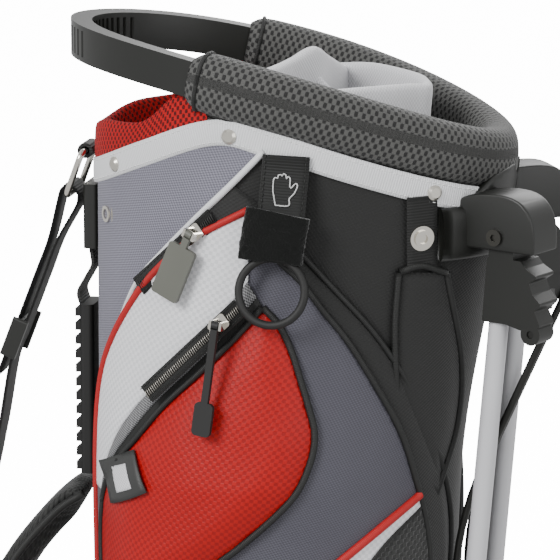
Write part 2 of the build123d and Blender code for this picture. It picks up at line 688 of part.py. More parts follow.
def face_plane(point_at, x, z, toward):
    """Plane on a face, with its normal outwards and its x axis along a side-view direction."""
    here = point_at(x, z)
    across = point_at(x + 1, z) - point_at(x - 1, z)
    upward = point_at(x, z + 1) - point_at(x, z - 1)
    normal = across.cross(upward).normalized()
    along = across.normalized() * toward[0] + upward.normalized() * toward[1]
    along = (along - normal * along.dot(normal)).normalized()
    return Plane(origin=here, x_dir=along, z_dir=normal)


def outline_zone(line, z_low):
    """Closed side-view outline: a curved top edge over straight sides and a flat bottom."""
    with BuildPart() as zone:
        with BuildSketch(Plane.XZ):
            with BuildLine():
                Spline(*line)
                Polyline(line[-1], (line[-1][0], z_low), (line[0][0], z_low), line[0])
            make_face()
        extrude(amount=REACH)
    return zone.part


garment_cushion = bulge(garment_depth, GARMENT_BULGE[0][0], GARMENT_BULGE[-1][0], [z for z, d in GARMENT_BULGE])
with BuildPart() as garment_pocket_right:
    add(garment_cushion)
    add(outline_zone(GARMENT_LINE, GARMENT_LOW_Z), mode=Mode.INTERSECT)
garment_pocket_right.part.label = "garment_pocket_right"
export_step(garment_pocket_right.part, "parts/garment_pocket_right.step")

with BuildPart() as garment_pocket_left:
    mirror(garment_pocket_right.part, about=Plane.XZ)
garment_pocket_left.part.label = "garment_pocket_left"
export_step(garment_pocket_left.part, "parts/garment_pocket_left.step")

# valuables pocket: a thinner cushion on the garment pocket's face
with BuildPart() as valuables_pocket:
    add(bulge(lambda z: garment_depth(z) + depth_at(VALUABLES_BULGE, z), VALUABLES_LOW_Z,
              VALUABLES_BULGE[-1][0], [z for z, d in VALUABLES_BULGE]))
    add(outline_zone(VALUABLES_LINE, VALUABLES_LOW_Z), mode=Mode.INTERSECT)
    add(bulge(garment_depth, GARMENT_BULGE[0][0], GARMENT_BULGE[-1][0], [z for z, d in GARMENT_BULGE]),
        mode=Mode.SUBTRACT)
    add(oval_solid(300, 800, 2), mode=Mode.SUBTRACT)
valuables_pocket.part.label = "valuables_pocket"
export_step(valuables_pocket.part, "parts/valuables_pocket.step")

# ================================================================= zippers
for name, run in ZIP_RUNS.items():
    extra = run["extra"]
    plane = face_plane(lambda x, z: pocket_point(x, z, extra), run["x"], run["z"], run["toward"])
    # the straight run of tape and coil that the slider rides on
    with BuildPart() as zip_tape:
        with BuildSketch(plane.offset(ZIP_RISE - 5)):
            Rectangle(2 * run["half"], 2 * ZIP_HALF_WIDTH)
        extrude(amount=5)
    zip_tape.part.label = f"zip_tape_{name}"
    export_step(zip_tape.part, f"parts/zip_tape_{name}.step")

    slider_centre = plane.from_local_coords((run["start"], 0, ZIP_RISE + SLIDER_GAP))
    slider_plane = Plane(origin=slider_centre, x_dir=plane.x_dir, z_dir=plane.z_dir)
    level = face_plane(lambda x, z: pocket_point(x, z, extra), run["x"], run["z"], run["pull_toward"])
    pin = Plane(origin=slider_plane.from_local_coords((0, 0, PIN_HEIGHT)),
                x_dir=level.x_dir, z_dir=level.z_dir)
    with BuildPart() as zip_slider:
        with BuildSketch(slider_plane):
            RectangleRounded(SLIDER_LENGTH, SLIDER_WIDTH, 2)
        extrude(amount=SLIDER_BASE)
        # two cheeks carry the puller's pin
        for side in (-1, 1):
            with BuildSketch(pin.offset(0.6 - PIN_HEIGHT)):
                with Locations((0, side * 3.4)):
                    Rectangle(5, 1.6)
            extrude(amount=PIN_HEIGHT + 1.2)
        with BuildSketch(Plane(origin=pin.origin, x_dir=pin.z_dir, z_dir=pin.y_dir)):
            Circle(PULL_PIN_RADIUS)
        extrude(amount=3.4, both=True)
    zip_slider.part.label = f"zip_slider_{name}"
    export_step(zip_slider.part, f"parts/zip_slider_{name}.step")

    with BuildPart() as zip_pull:
        # eye around the pin, then a flat tongue that widens to the grip
        with BuildSketch(Plane(origin=pin.origin, x_dir=pin.z_dir, z_dir=pin.y_dir)):
            Circle(PULL_PIN_RADIUS + 1.3)
            Circle(PULL_PIN_RADIUS + 0.08, mode=Mode.SUBTRACT)
        extrude(amount=2.2, both=True)
        with BuildSketch(pin.offset(-0.2)):
            with Locations(((PULL_PIN_RADIUS + 1 + 9) / 2, 0)):
                Rectangle(9 - PULL_PIN_RADIUS - 1, 4.4)
            with Locations((8 + (run["pull_length"] - 8) / 2, 0)):
                RectangleRounded(run["pull_length"] - 8, run["pull_width"] if name == "main" else 4.4, 2)
            if name == "inner":
                with Locations((run["pull_length"] - 10, 0)):
                    RectangleRounded(20, run["pull_width"], 3)
        extrude(amount=2.6)
    zip_pull.part.label = f"zip_pull_{name}"
    export_step(zip_pull.part, f"parts/zip_pull_{name}.step")

# folded label on the valuables pocket
label_plane = face_plane(lambda x, z: pocket_point(x, z, 9), -67.0, 616.0, (1.0, 0.0))
with BuildPart() as pocket_label:
    with BuildSketch(label_plane.offset(-1)):
        RectangleRounded(36, 34, 2)
    extrude(amount=3)
pocket_label.part.label = "pocket_label"
export_step(pocket_label.part, "parts/pocket_label.step")

# ================================================================= glove tab and ring
tab_top = Vector(TAB_X, -side_y(TAB_X, TAB_TOP_Z) - BAND_THICKNESS - SEAM, TAB_TOP_Z)
tab_low = Vector(TAB_X, -side_y(TAB_X, TAB_LOW_Z) - garment_depth(TAB_LOW_Z) - 3.2, TAB_LOW_Z)
tab_down = (tab_low - tab_top).normalized()
tab_plane = Plane(origin=tab_top, x_dir=tab_down, z_dir=Vector(0, -1, 0).cross(tab_down).cross(tab_down) * -1)
tab_length = (tab_low - tab_top).length
with BuildPart() as glove_tab:
    with BuildSketch(tab_plane):
        with Locations((tab_length / 2, 0)):
            RectangleRounded(tab_length, TAB_WIDTH, 2)
    extrude(amount=TAB_THICKNESS)
    # loop at the tab's lower end, in side section, around the ring
    loop_centre = tab_plane.from_local_coords((tab_length - 1, 0, RING_LOOP_HALF + 1.6))
    loop_plane = Plane(origin=loop_centre, x_dir=tab_down, z_dir=Vector(1, 0, 0))
    with BuildSketch(loop_plane):
        Circle(RING_LOOP_HALF + 1.6)
        Circle(RING_LOOP_HALF - 0.8, mode=Mode.SUBTRACT)
    extrude(amount=5, both=True)
glove_tab.part.label = "glove_tab"
export_step(glove_tab.part, "parts/glove_tab.step")

glove_pivot = loop_plane.from_local_coords((RING_LOOP_HALF - 0.8 - GLOVE_RING_WIRE - 1.0, 0, 0))
with BuildPart() as glove_ring:
    ring_centre = glove_pivot + Vector(0, -0.2, -1).normalized() * GLOVE_RING_RADIUS
    ring_normal = Vector(0, -1, 0.2).normalized()
    with BuildSketch(Plane(origin=ring_centre + Vector(1, 0, 0) * GLOVE_RING_RADIUS,
                           x_dir=Vector(1, 0, 0), z_dir=ring_normal.cross(Vector(1, 0, 0)))):
        Circle(GLOVE_RING_WIRE)
    revolve(axis=Axis(ring_centre, ring_normal), revolution_arc=360)
glove_ring.part.label = "glove_ring"
export_step(glove_ring.part, "parts/glove_ring.step")

# ================================================================= umbrella sleeve and snaps
with BuildPart() as umbrella_sleeve:
    add(oval_solid(590, 760, 4.5))
    add(oval_solid(580, 770, SEAM), mode=Mode.SUBTRACT)
    with BuildSketch(Plane.XZ):
        with BuildLine():
            Spline(*SLEEVE_LINE_LEFT)
            Spline(*SLEEVE_LINE_RIGHT)
            Line(SLEEVE_LINE_RIGHT[-1], SLEEVE_LINE_LEFT[0])
        make_face()
    extrude(amount=REACH, mode=Mode.INTERSECT)
    add(garment_pocket_right.part, mode=Mode.SUBTRACT)
umbrella_sleeve.part.label = "umbrella_sleeve"
export_step(umbrella_sleeve.part, "parts/umbrella_sleeve.step")

with BuildPart() as umbrella_strap:
    add(oval_solid(735, 795, 3.4))
    add(oval_solid(730, 800, SEAM), mode=Mode.SUBTRACT)
    with BuildSketch(Plane.XZ):
        with Locations((105.5, 767)):
            Rectangle(19, 40)
    extrude(amount=REACH, mode=Mode.INTERSECT)
    add(rim_band.part, mode=Mode.SUBTRACT)
umbrella_strap.part.label = "umbrella_strap"
export_step(umbrella_strap.part, "parts/umbrella_strap.step")

with BuildPart() as snap_studs:
    for x, z, lift in ((105.0, 767.0, 3.0), (-88.0, 769.0, 0.0)):
        seat = face_plane(lambda u, v: Vector(u, -side_y(u, v), v), x, z, (1.0, 0.0)).offset(lift - 0.6)
        with BuildSketch(seat):
            Circle(SNAP_RADIUS)
        extrude(amount=1.8)
        with BuildSketch(seat.offset(1.8)):
            Circle(SNAP_RADIUS - 2.5)
            Circle(SNAP_RADIUS - 4.5, mode=Mode.SUBTRACT)
        extrude(amount=1.4)
snap_studs.part.label = "snap_studs"
export_step(snap_studs.part, "parts/snap_studs.step")

# ================================================================= spine plate, grip and strap
with BuildPart() as spine_plate:
    with BuildSketch(Plane.XY.offset(741)):
        with Locations((SPINE_X - 3, 0)):
            RectangleRounded(10, 30, 3)
    extrude(amount=40)
    add(oval_solid(700, 850, SEAM), mode=Mode.SUBTRACT)
    for side in (-1, 0, 1):
        with Locations((SPINE_X - 8, side * 8, 761)):
            Box(2, 2.4, 32, mode=Mode.SUBTRACT)
spine_plate.part.label = "spine_plate"
export_step(spine_plate.part, "parts/spine_plate.step")

with BuildPart() as spine_grip:
    with BuildSketch(Plane.XY.offset(597)):
        with Locations((SPINE_X - 7, 0)):
            RectangleRounded(9, 26, 3)
    extrude(amount=108)
    for i in range(GRIP_RIBS):
        with Locations((SPINE_X - 11.5, 0, 602 + i * (98 / (GRIP_RIBS - 1)))):
            Box(5, 24, 5)
    add(oval_solid(580, 720, 2 + SEAM), mode=Mode.SUBTRACT)
spine_grip.part.label = "spine_grip"
export_step(spine_grip.part, "parts/spine_grip.step")


def strap(path, radii, width, thickness, y=0.0):
    """A flat strap that follows a side-view path, of even width across the bag."""
    with BuildPart() as webbing:
        with BuildSketch(Plane.XZ.offset(-y)):
            with BuildLine() as line:
                FilletPolyline(*path, radius=radii)
            trace(line.line, line_width=thickness)
        extrude(amount=width / 2, both=True)
    return webbing.part


with BuildPart() as grip_webbing:
    add(strap([(SPINE_X - 5, 746), (SPINE_X - 2.6, 730), (SPINE_X - 13, 712), (SPINE_X - 9, 700)], 8,
              WEB_WIDTH - 4, WEB_THICKNESS))
    add(spine_plate.part, mode=Mode.SUBTRACT)
    add(spine_grip.part, mode=Mode.SUBTRACT)
    add(oval_solid(690, 750, SEAM), mode=Mode.SUBTRACT)
grip_webbing.part.label = "grip_webbing"
export_step(grip_webbing.part, "parts/grip_webbing.step")

# webbing tab that hangs the strap's metal ring at the throat
ring_top = Vector(SPINE_X - 7.5, 0, 801)
ring_low = Vector(SPINE_X - 17.5, 0, 774)
with BuildPart() as strap_tab:
    with BuildSketch(Plane.XZ):
        with Locations((ring_top.X, ring_top.Z)):
            Circle(WIRE_RADIUS + 2.8)
            Circle(WIRE_RADIUS + 0.8, mode=Mode.SUBTRACT)
    extrude(amount=9, both=True)
    add(oval_solid(780, 830, BAND_THICKNESS + SEAM), mode=Mode.SUBTRACT)
strap_tab.part.label = "strap_tab"
export_step(strap_tab.part, "parts/strap_tab.step")

ring_down = (ring_low - ring_top).normalized()
ring_face = Plane(origin=(ring_top + ring_low) * 0.5, x_dir=Vector(0, 1, 0), z_dir=Vector(0, 1, 0).cross(ring_down))
with BuildPart() as strap_ring:
    ring_span = (ring_low - ring_top).length
    with BuildLine(ring_face) as ring_line:
        FilletPolyline((-17.5, -ring_span / 2), (17.5, -ring_span / 2), (17.5, ring_span / 2), (-17.5, ring_span / 2),
                       radius=5, close=True)
    with BuildSketch(Plane(origin=ring_line.line @ 0, z_dir=ring_line.line % 0)):
        Circle(WIRE_RADIUS)
    sweep(path=ring_line.line)
strap_ring.part.label = "strap_ring"
export_step(strap_ring.part, "parts/strap_ring.step")

# ================================================================= shoulder strap
strap_run = Vector(-0.362, 0, -0.932)            # the way the two layers run through the buckle
strap_side = Vector(0.932, 0, -0.362)
buckle_entry = Vector(-149.5, 0, 700)


def layer(side, along):
    """Point on one of the two webbing layers, as side-view coordinates."""
    here = buckle_entry + strap_run * along + strap_side * (side * LAYER_OFFSET)
    return (here.X, here.Z)


webbing_path = [layer(-1, BUCKLE_RUN + 10), layer(-1, 0), (ring_low.X - 6.5, ring_low.Z - 4),
                (ring_low.X, ring_low.Z + FOLD_RISE), (ring_low.X + 6.0, ring_low.Z - 5), layer(1, 0),
                layer(1, BUCKLE_RUN), (-169, 620), (-181, 572), (-203, 530), (-222, 498)]
with BuildPart() as strap_webbing:
    add(strap(webbing_path, [6, 6, FOLD_RADIUS - 0.5, FOLD_RADIUS, 6, 6, 12, 12, 12], WEB_WIDTH, 1.6))
strap_webbing.part.label = "strap_webbing"
export_step(strap_webbing.part, "parts/strap_webbing.step")

buckle_plane = Plane(origin=buckle_entry + strap_run * (BUCKLE_RUN / 2), x_dir=strap_run, z_dir=strap_side)
rail_y = (WEB_WIDTH + 2 + RAIL_WIDTH) / 2
with BuildPart() as strap_buckle:
    with BuildSketch(buckle_plane.offset(-5)):
        with Locations((0, rail_y), (0, -rail_y)):
            RectangleRounded(BUCKLE_LENGTH, RAIL_WIDTH, 1.5)
    extrude(amount=10)
    # three bars that the layers pass on either side of
    with BuildSketch(buckle_plane.offset(-1)):
        with Locations((-BUCKLE_LENGTH / 2 + 3, 0), (0, 0), (BUCKLE_LENGTH / 2 - 3, 0)):
            Rectangle(4, 2 * rail_y)
    extrude(amount=2)
strap_buckle.part.label = "strap_buckle"
export_step(strap_buckle.part, "parts/strap_buckle.step")

with BuildPart() as shoulder_pad:
    add(strap(PAD_PATH, [16, 16, 16, 16, 12, 12, 14], 58, 14))
    add(oval_solid(560, 640, 1), mode=Mode.SUBTRACT)
shoulder_pad.part.label = "shoulder_pad"
export_step(shoulder_pad.part, "parts/shoulder_pad.step")
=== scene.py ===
import math
import bpy
import numpy as np
from mathutils import Matrix, Vector, noise


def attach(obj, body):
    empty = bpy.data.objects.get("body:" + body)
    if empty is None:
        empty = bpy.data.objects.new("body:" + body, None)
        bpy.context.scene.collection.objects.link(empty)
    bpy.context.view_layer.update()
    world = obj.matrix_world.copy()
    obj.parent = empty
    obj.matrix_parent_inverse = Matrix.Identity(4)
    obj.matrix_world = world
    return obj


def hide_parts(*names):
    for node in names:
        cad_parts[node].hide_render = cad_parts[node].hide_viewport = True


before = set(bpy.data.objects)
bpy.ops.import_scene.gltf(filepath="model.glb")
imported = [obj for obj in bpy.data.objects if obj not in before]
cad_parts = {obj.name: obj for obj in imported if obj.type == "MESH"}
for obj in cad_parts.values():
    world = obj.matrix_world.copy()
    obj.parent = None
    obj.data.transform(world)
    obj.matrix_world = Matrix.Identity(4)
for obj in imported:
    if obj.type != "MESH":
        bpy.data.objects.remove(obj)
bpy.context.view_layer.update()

# Looks for the golf stand bag. Lengths are in millimetres until a mesh is made.
MM = 0.001
RIGHT, LEFT = -1, 1

BASE_HALF_LENGTH = 104      # of the bag's oval at the floor
BASE_HALF_WIDTH = 84
LENGTH_GAIN = 0.015         # growth of the half length per millimetre of height
FLARE = 11.6                # extra growth between the waist and the throat
WIDTH_GAIN = 5              # growth of the half width up to the throat
WAIST_Z = 600
THROAT_Z = 820
RING_X = 14                 # the carry ring's oval, and how it falls towards the front
RING_HALF_LENGTH = 127.5
RING_HALF_WIDTH = 84
RING_BACK_Z = 872.7
RING_SLOPE = 0.1168
RING_CURVE = 0.000566
CUFF_START_X = -28


# ---- the bag's form, as in the CAD
def smooth(t):
    t = np.clip(t, 0.0, 1.0)
    return t * t * (3 - 2 * t)


def half_length(z):
    return BASE_HALF_LENGTH + LENGTH_GAIN * z + FLARE * smooth((z - WAIST_Z) / (THROAT_Z - WAIST_Z))


def half_width(z):
    return BASE_HALF_WIDTH + WIDTH_GAIN * z / THROAT_Z


def centre_x(z):
    return half_length(z) - BASE_HALF_LENGTH


def side_y(x, z):
    share = 1 - ((x - centre_x(z)) / half_length(z)) ** 2
    return half_width(z) * np.sqrt(np.clip(share, 0, 1))


def ring_z(x):
    s = x + (RING_HALF_LENGTH - RING_X)
    return RING_BACK_Z - RING_SLOPE * s - RING_CURVE * s * s


BAND_LINE = [(-106, 789), (-60, 811), (-14, 828), (20, 822.5), (66, 808.5), (121, 790.5), (156, 779)]
THROAT_LINE = [(-106, 818), (-92, 826), (-62, 830), (-40, 848), (-24, 851)]
GARMENT_BULGE = [(96, 8), (150, 24), (400, 28), (620, 20), (775, 5), (830, 1)]
VALUABLES_BULGE = [(400, 3), (440, 9), (620, 9), (735, 1.5), (800, 1)]


def level(line, at):
    """Straight between the points of a line."""
    return np.interp(at, [p[0] for p in line], [p[1] for p in line])


def curve_through(points, step):
    """Points every so often along a smooth curve through the given ones."""
    pts = [Vector(p) for p in points]
    pts = [pts[0] * 2 - pts[1]] + pts + [pts[-1] * 2 - pts[-2]]
    made = []
    for a, b, c, d in zip(pts, pts[1:], pts[2:], pts[3:]):
        count = max(1, round((c - b).length / step))
        for i in range(count):
            t = i / count
            made.append(0.5 * (2 * b + (c - a) * t + (2 * a - 5 * b + 4 * c - d) * t * t
                               + (3 * b - a - 3 * c + d) * t ** 3))
    made.append(pts[-2])
    return made


# ---- finishes
def linear(code):
    """An sRGB hex colour as linear numbers."""
    parts = [int(code[i:i + 2], 16) / 255 for i in (1, 3, 5)]
    return tuple(p / 12.92 if p <= 0.04045 else ((p + 0.055) / 1.055) ** 2.4 for p in parts) + (1.0,)


def add(tree, kind, props=None, values=None, links=None):
    """A node with its settings, its socket values and the sockets that feed it."""
    node = tree.nodes.new(kind)
    for key, value in (props or {}).items():
        setattr(node, key, value)
    for key, value in (values or {}).items():
        node.inputs[key].default_value = value
    for key, source in (links or {}).items():
        tree.links.new(source, node.inputs[key])
    return node


def ramp(tree, source, stops):
    """A colour ramp from (place, colour) stops."""
    node = add(tree, "ShaderNodeValToRGB", links={"Fac": source})
    while len(node.color_ramp.elements) < len(stops):
        node.color_ramp.elements.new(0.5)
    for element, (place, colour) in zip(node.color_ramp.elements, stops):
        element.position = place
        element.color = colour
    return node.outputs["Color"]


WAVE = 0.31416     # a wave texture's scale is this over its period


def staggered(tree, place, across, along, turn):
    """Dots in offset rows, 0 to 1: two sine waves, across and along the cloth, in metres."""
    turned = add(tree, "ShaderNodeMapping", values={"Rotation": (0, 0, turn)}, links={"Vector": place})
    waves = [add(tree, "ShaderNodeTexWave", {"bands_direction": axis, "wave_profile": "SIN"},
                 {"Scale": WAVE / period}, {"Vector": turned.outputs[0]}).outputs["Fac"]
             for axis, period in (("X", across), ("Y", along))]
    other = add(tree, "ShaderNodeMath", {"operation": "SUBTRACT"}, {0: 1.0}, {1: waves[1]})
    return add(tree, "ShaderNodeMix", links={"Factor": waves[0], "A": other.outputs[0],
                                             "B": waves[1]}).outputs[0]


def finish(name, base, roughness, deep=None, pattern=None, relief=0.0, cut=(0.3, 0.7), metallic=0.0,
           sheen=0.0, coat=0.0, grain=0.0, grain_size=1.0, vary=0.12, turn=0.0, space="UV", specular=0.5,
           threads=None):
    """A material: its base and deep colours meet in a pattern of (across, along) mm, over fine grain.

    relief is the pattern's height and grain the grain's, in millimetres; vary shades it in soft patches.
    """
    mat = bpy.data.materials.new(name)
    mat.use_nodes = True
    tree = mat.node_tree
    shader = tree.nodes["Principled BSDF"]
    place = add(tree, "ShaderNodeTexCoord").outputs[space]
    shader.inputs["Roughness"].default_value = roughness
    shader.inputs["Metallic"].default_value = metallic
    shader.inputs["Sheen Weight"].default_value = sheen
    shader.inputs["Sheen Roughness"].default_value = 0.5
    shader.inputs["Coat Weight"].default_value = coat
    shader.inputs["Specular IOR Level"].default_value = specular
    object_place = add(tree, "ShaderNodeTexCoord").outputs["Object"]
    patches = add(tree, "ShaderNodeTexNoise", values={"Scale": 18.0, "Detail": 3.0},
                  links={"Vector": object_place}).outputs["Fac"]
    dark = tuple(c * (1 - vary) for c in linear(base)[:3]) + (1.0,)
    light = tuple(min(1.0, c * (1 + vary)) for c in linear(base)[:3]) + (1.0,)
    colour = ramp(tree, patches, [(0.3, dark), (0.7, light)])
    height = None
    if pattern:
        dots = staggered(tree, place, pattern[0] * MM, pattern[1] * MM, turn)
        mask = ramp(tree, dots, [(cut[0], (0, 0, 0, 1)), (cut[1], (1, 1, 1, 1))])
        # the deep colour fills the pattern's low parts; on the meshes these are the holes, where it is
        # painted shade
        mixed = add(tree, "ShaderNodeMix", {"data_type": "RGBA"}, links={0: mask, 7: colour})
        mixed.inputs[6].default_value = linear(deep or base)
        colour = mixed.outputs[2]
        height = add(tree, "ShaderNodeBump", values={"Strength": 1.0, "Distance": relief * MM},
                     links={"Height": mask}).outputs[0]
    if threads:
        rib = add(tree, "ShaderNodeTexWave", {"bands_direction": threads[0], "wave_profile": "SIN"},
                  {"Scale": WAVE / (threads[1] * MM)}, {"Vector": place}).outputs["Fac"]
        bump = add(tree, "ShaderNodeBump", values={"Strength": 1.0, "Distance": threads[2] * MM},
                   links={"Height": rib})
        if height:
            tree.links.new(height, bump.inputs["Normal"])
        height = bump.outputs[0]
        # where the ribs are low the colour is multiplied down to threads[3]: painted shade in the grooves
        shade = ramp(tree, rib, [(0.0, (threads[3],) * 3 + (1,)), (0.6, (1, 1, 1, 1))])
        colour = add(tree, "ShaderNodeMix", {"data_type": "RGBA", "blend_type": "MULTIPLY"}, {0: 1.0},
                     {6: colour, 7: shade}).outputs[2]
    if grain:
        speck = add(tree, "ShaderNodeTexNoise", values={"Scale": 1000 / grain_size, "Detail": 2.0},
                    links={"Vector": object_place}).outputs["Fac"]
        bump = add(tree, "ShaderNodeBump", values={"Strength": 1.0, "Distance": grain * MM},
                   links={"Height": speck})
        if height:
            tree.links.new(height, bump.inputs["Normal"])
        height = bump.outputs[0]
    tree.links.new(colour, shader.inputs["Base Color"])
    if height:
        tree.links.new(height, shader.inputs["Normal"])
    return mat


def solid_finish(*given, **more):
    """A finish placed by the piece's own coordinates, for pieces that carry no cloth lengths."""
    return finish(*given, space="Object", **more)


# Coated polyester ripstop: small raised dots in rows, a soft sheen and slight rubbing in patches.
ripstop_grey = finish("polyester_ripstop_grey", "#7A7986", 0.62, "#55545F", (2.3, 1.9), 0.10, turn=0.5,
                      sheen=0.15, vary=0.07, grain=0.03, grain_size=0.5)
ripstop_dark = finish("polyester_ripstop_slate", "#474650", 0.62, "#33323B", (2.2, 1.8), 0.10, turn=0.35,
                      sheen=0.12, vary=0.08, grain=0.03, grain_size=0.5)
# Dobby nylon: a raised net of small hexagons, drawn about 4 mm wide, that gives red its two tones.
dobby_red = finish("dobby_nylon_red", "#A30203", 0.5, "#8A0102", (4.2, 4.6), 0.14, (0.35, 0.6),
                   specular=0.3, vary=0.07, turn=0.12, grain=0.03, grain_size=0.6)
dobby_white = finish("dobby_nylon_white", "#DDDDE0", 0.55, "#C9CACD", (4.0, 4.4), 0.14, (0.35, 0.6),
                     sheen=0.1, vary=0.04, turn=0.12, grain=0.03, grain_size=0.6)
# Woven black polyester: matt, a checked weave that only shows where light grazes it.
woven_black = finish("woven_polyester_black", "#080907", 0.75, "#030302", (3.0, 2.4), 0.14, sheen=0.2,
                     vary=0.15, grain=0.04, grain_size=0.6)
lining_black = finish("polyester_lining_black", "#090909", 0.8, "#0C0C0C", (2.0, 2.0), 0.05, sheen=0.1)
# Spacer mesh: a knitted face with long staggered holes over foam; the holes are coloured nearly black,
# dark red in the red mesh, as painted shade in the holes.
mesh_dark = finish("spacer_mesh_charcoal", "#4C4C4A", 0.75, "#070707", (4.4, 6.9), 0.8, (0.3, 0.52),
                   sheen=0.1, vary=0.08, threads=("Y", 0.9, 0.1, 0.8))
mesh_red = finish("spacer_mesh_red", "#AC0306", 0.7, "#4A0203", (4.0, 5.4), 0.6, (0.28, 0.5),
                  specular=0.3, vary=0.08, threads=("Y", 0.9, 0.08, 0.85))
# Open mesh: its holes are coloured nearly black, painted shade in the holes.
mesh_black = finish("open_mesh_black", "#171816", 0.66, "#020202", (4.6, 5.6), 0.5, (0.3, 0.5),
                    sheen=0.2)
# Brushed knit on the dividers' padded tops: soft, light grey, with a faint row of loops.
knit_grey = finish("brushed_knit_light_grey", "#D6D6D8", 0.85, "#BFBFC3", (2.4, 3.0), 0.18, sheen=0.5,
                   vary=0.05, grain=0.06, grain_size=0.7)
# Polyester webbing: tight ribs across the tape, matt.
webbing_white = finish("webbing_white", "#D8D9DB", 0.7, threads=("X", 1.5, 0.18, 0.82), sheen=0.15,
                       vary=0.04, grain=0.03, grain_size=0.5)
webbing_black = finish("webbing_black", "#070806", 0.75, threads=("X", 1.7, 0.25, 0.55), sheen=0.08,
                       vary=0.12, grain=0.04, grain_size=0.5)
piping_white = finish("piping_tape_white", "#D9DADC", 0.65, threads=("X", 1.0, 0.1, 0.85), vary=0.04)
piping_red = finish("piping_tape_red", "#A80305", 0.6, threads=("X", 1.0, 0.1, 0.8), vary=0.06)
piping_black = finish("piping_tape_black", "#0E0F0D", 0.6, threads=("X", 1.0, 0.12, 0.6), vary=0.1)
tape_silver = finish("zip_tape_silver_grey", "#8A8A8C", 0.5, "#2E2E2F", (1.6, 2.4), 0.15, vary=0.1)
tape_black = finish("zip_tape_black", "#0C0D0B", 0.7, threads=("X", 1.1, 0.1, 0.7), vary=0.1)
loop_pile = solid_finish("loop_pile_black", "#070807", 0.95, sheen=0.25, grain=0.7, grain_size=1.3,
                         vary=0.3, specular=0.15)
thread_white = solid_finish("sewing_thread_white", "#E6E6E6", 0.7, vary=0.03)
thread_black = solid_finish("sewing_thread_black", "#1A1B19", 0.6, vary=0.05)
thread_pale = solid_finish("sewing_thread_pale", "#BDBDBD", 0.7, vary=0.03)
# Glass-filled nylon mouldings: near black, satin, with a fine spark-eroded texture.
nylon_moulded = solid_finish("moulded_nylon_black", "#141512", 0.42, grain=0.035, grain_size=0.5,
                             vary=0.1)
ring_plastic = solid_finish("moulded_polypropylene_charcoal", "#151613", 0.34, grain=0.02,
                            grain_size=0.8, vary=0.12)
boot_plastic = solid_finish("moulded_polypropylene_black", "#0F100E", 0.45, grain=0.05, grain_size=0.8,
                            vary=0.12)
rubber_black = solid_finish("moulded_rubber_black", "#0C0C0B", 0.62, grain=0.03, grain_size=0.6,
                            vary=0.12)
# Powder-coated aluminium tube: pale silver, faint orange peel.
leg_paint = solid_finish("powder_coat_silver_white", "#BDBDC0", 0.32, coat=0.3, grain=0.015,
                         grain_size=1.6, vary=0.03)
# Black oxide spring wire, satin nickel caps and zinc sliders.
spring_wire = solid_finish("black_oxide_spring_steel", "#2A2A28", 0.35, metallic=0.6, vary=0.15)
nickel_satin = solid_finish("satin_nickel", "#CFCBC2", 0.28, metallic=1.0, vary=0.06)
nickel_bright = solid_finish("bright_nickel", "#D6D2C9", 0.18, metallic=1.0, vary=0.08, grain=0.01,
                             grain_size=0.8)
steel_dark = solid_finish("blackened_steel_screw", "#4A4945", 0.35, metallic=0.9, vary=0.1)
steel_stay = solid_finish("glass_fibre_stay_grey", "#55575A", 0.4, vary=0.1)
felt_grey = solid_finish("needled_felt_grey", "#4A4B4D", 0.95, sheen=0.5, grain=0.3, grain_size=1.0,
                         vary=0.15, specular=0.2)
pull_rubber = solid_finish("moulded_rubber_grey", "#55564F", 0.5, grain=0.02, grain_size=0.6, vary=0.08)
satin_label = finish("woven_satin_label_charcoal", "#2B2C2B", 0.5, threads=("X", 0.9, 0.05, 0.85),
                     vary=0.06)
# Polyester webbing and spacer mesh placed by height, for pieces that carry no cloth lengths.
webbing_plain = solid_finish("webbing_black_upright", "#0D0E0C", 0.66, threads=("Z", 1.7, 0.25, 0.55),
                             sheen=0.08, vary=0.12, grain=0.04, grain_size=0.5)
# The pad's mesh holes are coloured nearly black: painted shade in the holes.
mesh_pad = solid_finish("spacer_mesh_pad_black", "#1C1D1B", 0.75, "#040404", (3.6, 4.2), 0.5,
                        (0.3, 0.55), sheen=0.1, vary=0.1)
# Nickel-plated zip coil, and the pale paper that the bag stands on, which glows a little.
nickel_dull = solid_finish("nickel_zip_coil", "#8E8B85", 0.35, metallic=1.0, vary=0.1)
floor_paper = solid_finish("matt_paper_pale", "#F4F4F4", 0.9, vary=0.0)
floor_shader = floor_paper.node_tree.nodes["Principled BSDF"]
floor_shader.inputs["Emission Color"].default_value = (1, 1, 1, 1)
floor_shader.inputs["Emission Strength"].default_value = 14.0


# ---- making pieces
def piece(name, points, faces, material, uv=None, body="bag", slot=None):
    """A mesh from points in millimetres, that rides on a body."""
    mesh = bpy.data.meshes.new(name)
    mesh.from_pydata([(float(p[0]) * MM, float(p[1]) * MM, float(p[2]) * MM) for p in points], [],
                     [list(map(int, f)) for f in faces])
    layer = mesh.uv_layers.new(name="UVMap")
    if uv is not None:
        for loop in mesh.loops:
            u, v = uv[loop.vertex_index]
            layer.data[loop.index].uv = (u * MM, v * MM)
    mesh.polygons.foreach_set("use_smooth", [True] * len(mesh.polygons))
    mesh.materials.append(material)
    obj = bpy.data.objects.new(name, mesh)
    bpy.context.scene.collection.objects.link(obj)
    if body:
        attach(obj, body)
    return obj


def apply_modifiers(obj):
    """Leaves the modified mesh on the piece, with no modifiers."""
    graph = bpy.context.evaluated_depsgraph_get()
    graph.update()
    mesh = bpy.data.meshes.new_from_object(obj.evaluated_get(graph), depsgraph=graph)
    obj.modifiers.clear()
    obj.data = mesh


def thicken(obj, thickness):
    """Gives an open sheet its real thickness."""
    solid = obj.modifiers.new("thickness", "SOLIDIFY")
    solid.thickness = thickness * MM
    solid.offset = -1.0
    solid.use_even_offset = False
    apply_modifiers(obj)


